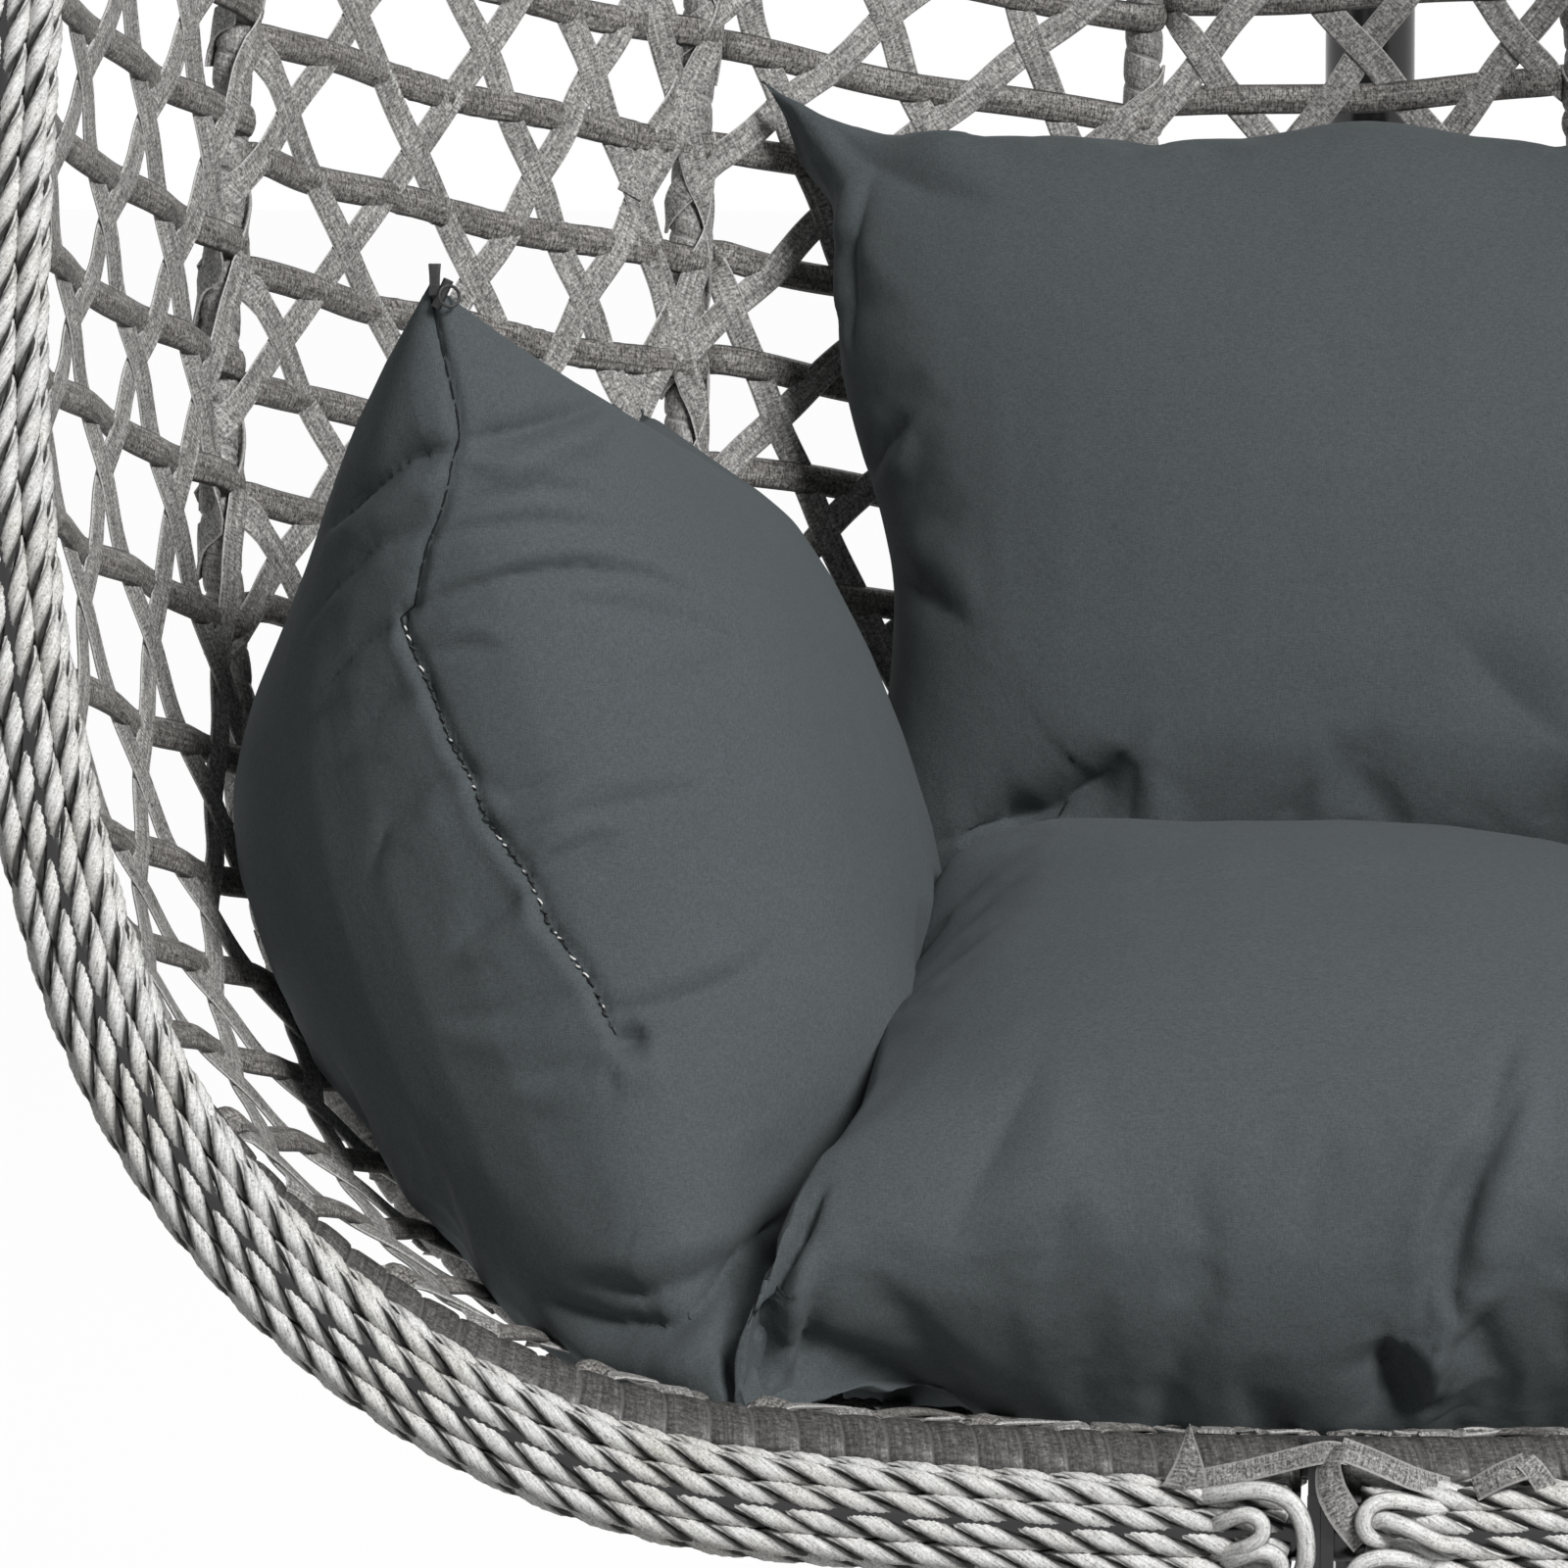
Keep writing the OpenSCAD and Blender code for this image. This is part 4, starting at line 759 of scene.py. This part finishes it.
def stuff(piece, form, cap=0.022, inset=0.006, proud=0.002):
    """The cover is blown up like a stuffed pillow, held to the room that its neighbours leave."""
    first = points_of(piece)
    start = first - points_of(piece, "normal") * inset
    move_to(piece, start)
    stuffing = piece.modifiers.new("stuffing", "CLOTH")
    c = stuffing.settings
    c.quality, c.mass, c.air_damping = 5, 0.25, 2.0
    c.tension_stiffness, c.compression_stiffness, c.shear_stiffness, c.bending_stiffness = 12, 12, 6, 0.4
    c.use_pressure, c.uniform_pressure_force = True, 4.0
    c.shrink_min = c.shrink_max = -0.045
    c.effector_weights.gravity = 0
    stuffing.point_cache.frame_start, stuffing.point_cache.frame_end = 1, STUFF_FRAMES
    for number in range(1, STUFF_FRAMES + 1):
        bpy.context.scene.frame_set(number)
    graph = bpy.context.evaluated_depsgraph_get()
    after = np.empty(len(start) * 3, np.float32)
    piece.evaluated_get(graph).data.vertices.foreach_get("co", after)
    piece.modifiers.remove(stuffing)
    bpy.context.scene.frame_set(1)
    move = after.reshape(-1, 3) - start
    size = np.linalg.norm(move, axis=1, keepdims=True)
    pts = start + move * np.minimum(1, cap / np.maximum(size, 1e-9))
    for i, q in enumerate(pts):
        spot, normal, _, _ = form.find_nearest(Vector(q))
        over = (Vector(q) - spot).dot(normal)
        if over > proud:
            pts[i] = q - np.array(normal) * (over - proud) * 0.9
    move_to(piece, pts)
    apply(piece, "SMOOTH", iterations=1, factor=0.4)


def shove(piece, moves):
    """Soft pushes: each takes the outline at (x, y) in the front view to (tx, ty), over a reach in millimetres."""
    pts = points_of(piece)
    for x, y, tx, ty, reach in moves:
        flat = flattened(pts)
        near = np.hypot(flat[:, 0] - x, flat[:, 1] - y) + (flat[:, 2] - flat[:, 2].min()) * 20
        i = int(np.argmin(near))
        step = (np.array(RIGHT) * (tx - flat[i, 0]) - np.array(UP) * (ty - flat[i, 1])) * flat[i, 2] / FOCUS
        far = np.linalg.norm(pts - pts[i], axis=1)
        pts += np.exp(-2 * (far / (reach / 1000)) ** 2)[:, None] * step
    move_to(piece, pts)


def track(tree, places, samples=70):
    """Points on the cover under a smooth line of (x, y) places in the front view."""
    places = np.array(places, float)
    far = run_length(places)
    hits = []
    for x, y in relax(sample(np.linspace(0, far[-1], samples), far, places), 6):
        spot, normal, _, _ = tree.ray_cast(VIEW, sight(x, y))
        if spot is not None:
            hits.append((np.array(spot), np.array(normal)))
    return hits


def crease(piece, folds):
    """Folds and seams: (places, depth, width, lip, lip side, fade at the ends) each, pressed into the cover."""
    tree = tree_of(piece)
    pts, nrm = points_of(piece), points_of(piece, "normal")
    shift = np.zeros(len(pts))
    for places, *sizes, side, fade in folds:
        depth, width, lip = (size / 10000 for size in sizes)
        hits = track(tree, places)
        if len(hits) < 6:
            continue
        line, face = np.array(hits).transpose(1, 0, 2)
        lo, hi = line.min(0) - width * 5, line.max(0) + width * 5
        near = np.where(np.all((pts > lo) & (pts < hi), axis=1))[0]
        if not len(near):
            continue
        gap = pts[near][:, None] - line[None]
        dist = np.linalg.norm(gap, axis=2)
        k = dist.argmin(1)
        best = gap[np.arange(len(near)), k]
        run = np.gradient(line, axis=0)
        run /= np.linalg.norm(run, axis=1, keepdims=True) + 1e-12
        across = np.cross(face[k], run[k])
        signed, ahead = np.sum(best * across, axis=1), np.sum(best * run[k], axis=1)
        t = k / (len(line) - 1)
        ends = np.clip(np.minimum(t + 0.02, 1.02 - t) / max(fade, 1e-3), 0, 1) ** 0.7
        w = width * (0.45 + 0.55 * ends)
        depth_here = -depth * 1.5 * np.exp(-np.abs(signed / w) ** 1.15)
        lip_here = lip * 1.5 * np.exp(-(((signed - side * 2.1 * w) / (1.5 * w)) ** 2))
        lone = np.exp(-(ahead / width) ** 2) * (np.sum(nrm[near] * face[k], axis=1) > 0.1)
        shift[near] += (depth_here + lip_here) * ends * lone
    move_to(piece, pts + nrm * shift[:, None])


def stitches(tree, places, gap_px=11):
    """Hand stitches over a closing seam: short threads, light and dark in turn."""
    hits = track(tree, places, int(run_length(np.array(places))[-1] / gap_px))
    t = np.linspace(-1, 1, 6)[:, None]
    bundle = Bundle()
    for i in range(1, len(hits) - 1):
        p, n = hits[i]
        run = hits[i + 1][0] - hits[i - 1][0]
        run /= np.linalg.norm(run)
        slant = np.cross(n, run) * 0.35 + run * (1.0 if i % 3 else 0.6)
        slant /= np.linalg.norm(slant)
        path = p + n * 0.0004 + slant * t * 0.0014 + n * (0.0007 * (1 - t ** 2))
        bundle.add(path, *square_to(path, np.repeat(n[None], 6, 0)), round_strand(0.0009, 0.0009, 6))
    return bundle


def seam_line(tree, bundle, places, width=0.0011):
    """A near-black strand laid along the line where two edges of cloth are sewn together: painted shade in the seam.
    """
    path, face = np.array(track(tree, places, 60)).transpose(1, 0, 2)
    path = relax(path + face * 0.00005, 3)
    bundle.add(path, *square_to(path, face), round_strand(width, 0.0007, 6))


# seams: (x, y) places; shoves: (x, y, to x, to y, reach in millimetres);
# folds: (places, depth, width and lip in tenths of a millimetre, the lip's side, fade at the ends)
ARM_SEAM = [(440, 304), (451, 356), (467, 423), (471, 453), (461, 466), (458, 494), (447, 532), (435, 556), (423, 618)]
ARM_CLOSING = [(409, 630), (419, 661), (438, 699), (462, 766), (478, 783), (492, 832), (530, 882), (545, 899),
               (554, 937), (602, 999), (616, 1032), (628, 1056)]
ARM_FOLDS = [
    (ARM_SEAM, 22, 20, 6, 1, 0.03),
    ([(423, 618), (409, 630)], 20, 20, 0, 1, 0.05),
    (ARM_CLOSING, 30, 26, 8, -1, 0.05),
    ([(471, 453), (526, 442), (583, 423), (632, 402)], 50, 48, 30, -1, 0.25),
    ([(464, 458), (411, 470), (364, 504), (335, 537)], 58, 55, 30, 1, 0.25),
    ([(447, 535), (383, 556), (335, 604), (311, 642)], 22, 40, 16, 1, 0.4),
    ([(423, 621), (364, 661), (316, 718)], 24, 42, 16, 1, 0.4),
    ([(445, 530), (488, 513), (554, 499), (621, 504)], 14, 35, 10, 1, 0.4),
    ([(435, 554), (478, 539), (554, 532), (621, 537)], 16, 36, 12, 1, 0.4),
    ([(423, 620), (469, 604), (526, 587), (592, 580), (659, 587), (716, 613)], 30, 36, 20, 1, 0.4),
    ([(564, 613), (659, 623), (716, 637), (759, 653)], 16, 50, 10, 1, 0.4),
    ([(438, 669), (478, 659), (516, 661)], 16, 36, 10, 1, 0.4),
    ([(435, 699), (392, 723), (345, 766)], 18, 45, 12, 1, 0.4),
    ([(478, 785), (430, 809), (392, 842), (378, 890)], 20, 48, 14, 1, 0.4),
    ([(478, 785), (516, 813), (592, 790)], 16, 40, 10, -1, 0.4),
    ([(526, 851), (621, 823), (726, 802)], 16, 45, 10, 1, 0.4),
    ([(545, 893), (583, 870), (630, 851)], 24, 42, 14, 1, 0.35),
    ([(543, 899), (507, 928), (459, 966)], 30, 52, 18, 1, 0.35),
    ([(602, 999), (526, 1032), (450, 1042)], 18, 55, 12, 1, 0.4),
    ([(607, 1032), (659, 1028), (716, 1013), (764, 990), (783, 966)], 22, 45, 14, 1, 0.35),
    ([(622, 1060), (645, 1060), (662, 1052)], 70, 60, 30, -1, 0.35),
    ([(626, 1064), (592, 1085), (526, 1104)], 22, 50, 14, 1, 0.4),
    ([(554, 1328), (621, 1356), (678, 1356), (735, 1318), (764, 1280), (815, 1240)],
     75, 75, 55, -1, 0.3),
    ([(592, 1309), (650, 1323), (716, 1299), (759, 1275)], 50, 65, 30, 1, 0.35),
    ([(764, 1280), (759, 1328), (735, 1366), (755, 1418)], 60, 60, 40, 1, 0.3),
]
ARM_SHOVES = [
    (432, 308, 437, 303, 45), (300, 540, 322, 545, 70), (285, 610, 306, 612, 70),
    (266, 800, 247, 805, 100), (272, 880, 256, 885, 90), (660, 1385, 648, 1412, 70),
    (740, 1400, 740, 1425, 60), (560, 1340, 548, 1352, 70), (905, 1078, 934, 1086, 60),
    (844, 1219, 812, 1222, 60), (815, 1300, 785, 1300, 50),
]
SEAT_SHOVES = [
    (1000, 915, 1000, 872, 90), (1092, 872, 1092, 852, 80), (925, 1078, 945, 1080, 50),
    (852, 1225, 822, 1225, 50), (818, 1340, 786, 1345, 50), (803, 1400, 768, 1430, 60),
    (1050, 1446, 1050, 1474, 150), (1300, 1447, 1300, 1476, 150), (1550, 1447, 1550, 1476, 150),
    (880, 1430, 880, 1468, 80), (960, 1450, 955, 1480, 70), (975, 905, 966, 882, 50),
]
SEAT_FOLDS = [
    ([(838, 1216), (802, 1290), (783, 1356), (768, 1425)], 110, 40, 40, 1, 0.2),
    ([(852, 1223), (835, 1280), (826, 1347), (812, 1418)], 40, 45, 30, -1, 0.25),
    ([(1058, 1086), (1013, 1171), (962, 1273)], 34, 110, 22, 1, 0.45),
    ([(1092, 1205), (1070, 1307)], 16, 80, 10, 1, 0.45),
    ([(1541, 1069), (1513, 1160), (1479, 1228), (1456, 1319), (1450, 1387), (1456, 1432)],
     48, 70, 36, 1, 0.35),
    ([(1558, 1103), (1501, 1216), (1484, 1285), (1479, 1387)], 36, 60, 26, -1, 0.35),
    ([(1412, 1368), (1414, 1395), (1420, 1425), (1434, 1458)], 95, 78, 42, 1, 0.3),
    ([(1436, 1352), (1436, 1400), (1450, 1440), (1466, 1434), (1478, 1400), (1500, 1362), (1530, 1330)],
     42, 52, 30, 1, 0.3),
    ([(1120, 905), (1300, 890), (1500, 893)], 16, 120, 10, 1, 0.45),
]
BACK_SHOVES = [
    (812, 102, 795, 93, 35), (835, 160, 822, 170, 30), (886, 330, 864, 330, 70),
    (900, 450, 876, 450, 70), (870, 215, 862, 235, 30), (905, 118, 905, 139, 35),
    (960, 122, 960, 140, 50), (1400, 125, 1400, 124, 60),
]
BACK_FOLDS = [
    ([(888, 172), (866, 250), (870, 364)], 30, 60, 18, -1, 0.35),
    ([(928, 427), (899, 455), (882, 500)], 30, 55, 20, 1, 0.35),
    ([(835, 110), (880, 160), (940, 190), (1010, 205)], 36, 100, 30, 1, 0.4),
    ([(900, 560), (930, 600), (990, 640)], 22, 80, 14, 1, 0.4),
    ([(1147, 766), (1120, 806), (1060, 838), (975, 856)], 115, 130, 50, 1, 0.3),
    ([(1480, 640), (1530, 700), (1600, 760)], 30, 140, 20, 1, 0.4),
    ([(1000, 260), (1200, 225), (1420, 235), (1590, 215)], 18, 200, 14, 1, 0.45),
]


def declare(piece, name):
    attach(piece, "basket")
    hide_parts(name)


def cushion(name, moves, folds):
    piece, form = cover_of(name)
    stuff(piece, form)
    shove(piece, moves)
    apply(piece, "SUBSURF", levels=1, render_levels=1)
    crease(piece, folds)
    piece.data.materials.clear()
    piece.data.materials.append(slate)
    piece.data.polygons.foreach_set("use_smooth", np.full(len(piece.data.polygons), True))
    declare(piece, name)
    return piece


def other_side(piece, name):
    """The same piece sewn the other way round, for the right arm."""
    twin = bpy.data.objects.new(name, piece.data.copy())
    bpy.context.scene.collection.objects.link(twin)
    pts = points_of(twin)
    pts[:, 0] *= -1
    move_to(twin, pts)
    twin.data.flip_normals()
    return twin


arm = cushion("arm_cushion_left", ARM_SHOVES, ARM_FOLDS)
declare(other_side(arm, "arm_cushion_right_cover"), "arm_cushion_right")
cushion("seat_cushion", SEAT_SHOVES, SEAT_FOLDS)
cushion("back_cushion", BACK_SHOVES, BACK_FOLDS)

arm_tree = tree_of(arm)
seam = Bundle()
seam_line(arm_tree, seam, ARM_SEAM)
seam_line(arm_tree, seam, [ARM_SEAM[-1], *ARM_CLOSING[:2]])
seam_line(arm_tree, seam, ARM_CLOSING, 0.0009)
seam = seam.make("arm_seam_left", painted_seam_shade)
thread = stitches(arm_tree, ARM_CLOSING).make("closing_stitches_left", finish_thread())
for piece in (thread, other_side(thread, "closing_stitches_right"), seam, other_side(seam, "arm_seam_right")):
    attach(piece, "basket")


# ---------------- loose ends where the two half rims meet
RIM_FRONT = -0.393        # the rim's lowest point, ahead of the stand's middle


def at_depth(places):
    """Points (x, y, millimetres behind the rim's lowest point) in the front view."""
    rays = [(sight(x, y), behind) for x, y, behind in places]
    return np.array([VIEW + ray * ((RIM_FRONT + behind / 1000 - VIEW.y) / ray.y) for ray, behind in rays])


def eased(places, count):
    pts = at_depth(places)
    far = run_length(pts)
    return relax(sample(np.linspace(0, far[-1], count), far, pts), count // 5)


# flat ends of strip: (places, width in millimetres, outward direction at the start and at the end, drawn to a point)
LOOSE_STRIPS = [
    ([(1170, 1520, 4), (1215, 1512, -1), (1275, 1500, -4), (1330, 1486, -8), (1362, 1479, -10),
      (1374, 1484, -6)], 10.5, (0.1, -0.8, 0.9), (-0.2, -0.8, 0.7), False),
    ([(1366, 1476, -9), (1354, 1494, -14), (1358, 1522, -18), (1373, 1548, -18), (1392, 1572, -12)],
     12.5, (-0.9, -0.6, 0.2), (0.5, -1.0, 0.1), False),
    ([(1368, 1478, -6), (1400, 1490, -6), (1440, 1508, -4), (1480, 1520, 2)],
     11.5, (0.3, -0.8, 0.8), (0.2, -0.8, 0.8), False),
    ([(1210, 1520, -6), (1213, 1500, -7), (1214, 1453, -9)],
     18.5, (0.0, -1.0, 0.15), (0.0, -1.0, 0.1), True),
    ([(1505, 1520, -4), (1530, 1506, -6), (1558, 1495, -6)],
     11.5, (0.1, -0.8, 0.9), (-0.4, -0.8, 0.5), False),
    ([(1556, 1490, -5), (1566, 1500, -7), (1580, 1520, -4)],
     9, (0.6, -0.9, 0.2), (0.1, -1, 0.3), False),
]
ends = Bundle()
for places, width, start, end, pointed in LOOSE_STRIPS:
    line = eased(places, 30)
    t = np.linspace(0, 1, len(line))
    face = np.outer(1 - t, start) + np.outer(t, end)
    wide = width / 1000 * (np.clip(1 - t, 0.03, 1) if pointed else np.ones(len(t)))
    size = np.stack([wide, np.full(len(t), 0.0015), np.ones(len(t))], 1)[:, None]
    ends.add(line, *square_to(line, face), np.array(flat_strip(1, 1)) * size)
strips = ends.make("loose_strip_ends", loose_end)
choose(strips)
bpy.ops.object.shade_smooth_by_angle(angle=math.radians(32))
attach(strips, "basket")

# the plait's ropes, turned back at the gap: (places, width in millimetres)
END_LOOPS = [
    ([(1205, 1528, 6), (1240, 1526, -10), (1275, 1519, -16), (1306, 1522, -18), (1325, 1537, -18),
      (1333, 1565, -17), (1334, 1595, -15), (1322, 1622, -8), (1296, 1634, 6)], 7.4),
    ([(1225, 1562, 4), (1250, 1552, -14), (1272, 1543, -18), (1289, 1550, -20), (1291, 1568, -20),
      (1272, 1580, -18), (1236, 1588, -4)], 6.6),
    ([(1235, 1600, 4), (1262, 1590, -15), (1290, 1580, -19), (1308, 1590, -18), (1306, 1618, -12),
      (1286, 1640, 4)], 7),
    ([(1500, 1536, 6), (1462, 1540, -8), (1430, 1531, -17), (1404, 1530, -19), (1389, 1545, -20),
      (1390, 1566, -19), (1408, 1574, -14), (1436, 1578, 4)], 6.8),
    ([(1392, 1556, -12), (1412, 1549, -19), (1440, 1560, -20), (1470, 1576, -18), (1500, 1578, -6),
      (1530, 1574, 6)], 7),
    ([(1490, 1604, 6), (1450, 1594, -12), (1410, 1588, -18), (1384, 1596, -18), (1374, 1620, -16),
      (1386, 1646, -4)], 7),
]
turns = Bundle()
for places, width in END_LOOPS:
    line = eased(places, 44)
    facing = np.repeat([[0.0, -1.0, 0.15]], len(line), 0)
    turns.add(line, *square_to(line, facing), round_strand(width / 1000, 0.0058, 8))
loops = turns.make("plait_end_loops", rope)
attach(loops, "basket")


# ---------------- zip pulls
TAB_W, TAB_T, TAB_L = 0.0052, 0.0022, 0.0125


def zip_tab(side):
    """A moulded tab on its wire loop, at the tip of the arm cushion."""
    hand = -1 if side == "left" else 1
    tips = points_of(arm)
    tip = tips[tips[:, 2].argmax()]
    x, y, z = -hand * tip[0] - hand * 0.001, tip[1] - 0.001, tip[2]
    bpy.ops.mesh.primitive_cube_add(size=1, location=(x, y, z - 0.0005))
    tab = bpy.context.object
    tab.scale = (TAB_W, TAB_T, TAB_L)
    bpy.ops.object.transform_apply()
    bpy.ops.object.mode_set(mode="EDIT")
    bpy.ops.mesh.select_all(action="SELECT")
    bpy.ops.mesh.subdivide(number_cuts=2)
    bpy.ops.mesh.bevel(offset=0.0003, segments=2)
    bpy.ops.object.mode_set(mode="OBJECT")
    for v in tab.data.vertices:
        up = (v.co.z - (z - 0.0005 - TAB_L / 2)) / TAB_L
        v.co.x = x + (v.co.x - x) * (0.72 + 0.4 * abs(up - 0.45))
    bpy.ops.mesh.primitive_torus_add(location=(x - hand * 0.006, y - 0.002, z - 0.007), major_radius=0.0042,
                                     rotation=(math.radians(80), 0, 0.5), minor_radius=0.0007,
                                     major_segments=28, minor_segments=8)
    ring = bpy.context.object
    bpy.ops.object.transform_apply()
    bpy.ops.mesh.primitive_cylinder_add(radius=0.0021, depth=0.012, vertices=18,
                                        location=(x - hand * 0.003, y, z - 0.006),
                                        rotation=(0, -hand * math.radians(25), 0))
    bpy.ops.object.transform_apply()
    for piece in (tab, ring):
        piece.select_set(True)
    bpy.context.view_layer.objects.active = tab
    bpy.ops.object.join()
    tab.name = f"zip_tab_{side}"
    tab.data.materials.clear()
    tab.data.materials.append(plastic)
    choose(tab)
    bpy.ops.object.shade_smooth_by_angle(angle=math.radians(40))
    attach(tab, "basket")
    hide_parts(f"zip_pull_{side}")


zip_tab("left")
zip_tab("right")


# ---------------- floor, light and camera
def seen_directly(tree):
    """1 for rays from the camera, and those off a glossy or through a clear surface."""
    ray = put(tree, "LightPath").outputs
    seen = maths("MAXIMUM", ray["Is Camera Ray"], ray["Is Glossy Ray"])
    return maths("MAXIMUM", seen, ray["Is Transmission Ray"])


bpy.ops.mesh.primitive_plane_add(size=60, location=(0, 0, -0.001))
floor = bpy.context.object
floor.name = "floor"
floor_mat, shader, at = finish("pale_floor", (0.42, 0.42, 0.415), 0.8)
tree = floor_mat.node_tree
mottle = ramp(noise(at, 3.0, 4.0), [(0.3, (0.41, 0.41, 0.405)), (0.7, (0.43, 0.43, 0.425))])
feed(shader, "Base Color", mottle)
amount = maths("MULTIPLY", seen_directly(tree), 0.85)
glow = put(tree, "Emission", {"Color": (1, 1, 1, 1), "Strength": 1.12})
lit = put(tree, "MixShader", {0: amount, 1: shader.outputs[0], 2: glow.outputs[0]})
tree.links.new(lit.outputs[0], tree.nodes["Material Output"].inputs["Surface"])
floor.data.materials.append(floor_mat)

world = bpy.data.worlds.new("studio")
bpy.context.scene.world = world
world.use_nodes = True
tree = world.node_tree
tree.nodes.clear()
soft = put(tree, "Background", {"Color": (0.93, 0.96, 1.0, 1), "Strength": 0.14})
white = put(tree, "Background", {"Color": (1, 1, 1, 1), "Strength": 1.0})
both = put(tree, "MixShader", {0: seen_directly(tree), 1: soft.outputs[0], 2: white.outputs[0]})
put(tree, "OutputWorld", {"Surface": both.outputs[0]})


def lamp(name, place, aim, size, power):
    bpy.ops.object.light_add(type="AREA", location=place)
    light = bpy.context.object
    light.name = name
    light.data.size, light.data.energy = size, power
    light.rotation_euler = (Vector(aim) - Vector(place)).to_track_quat("-Z", "Y").to_euler()


lamp("key_softbox", (2.05, -3.2, 3.15), (0, 0, 0.9), 1.4, 228)
lamp("fill_softbox", (-2.6, -3.0, 1.8), (0, 0, 0.9), 2.6, 2.5)
lamp("back_softbox", (1.4, 2.8, 2.8), (0, 0, 1.0), 2.2, 26)

bpy.ops.object.camera_add(location=VIEW)
camera = bpy.context.object
camera.rotation_euler = AHEAD.to_track_quat("-Z", "Y").to_euler()
camera.data.sensor_width, camera.data.lens = 36, 232.155
camera.data.clip_end = 50
bpy.context.scene.camera = camera
bpy.context.scene.view_settings.view_transform = "Standard"
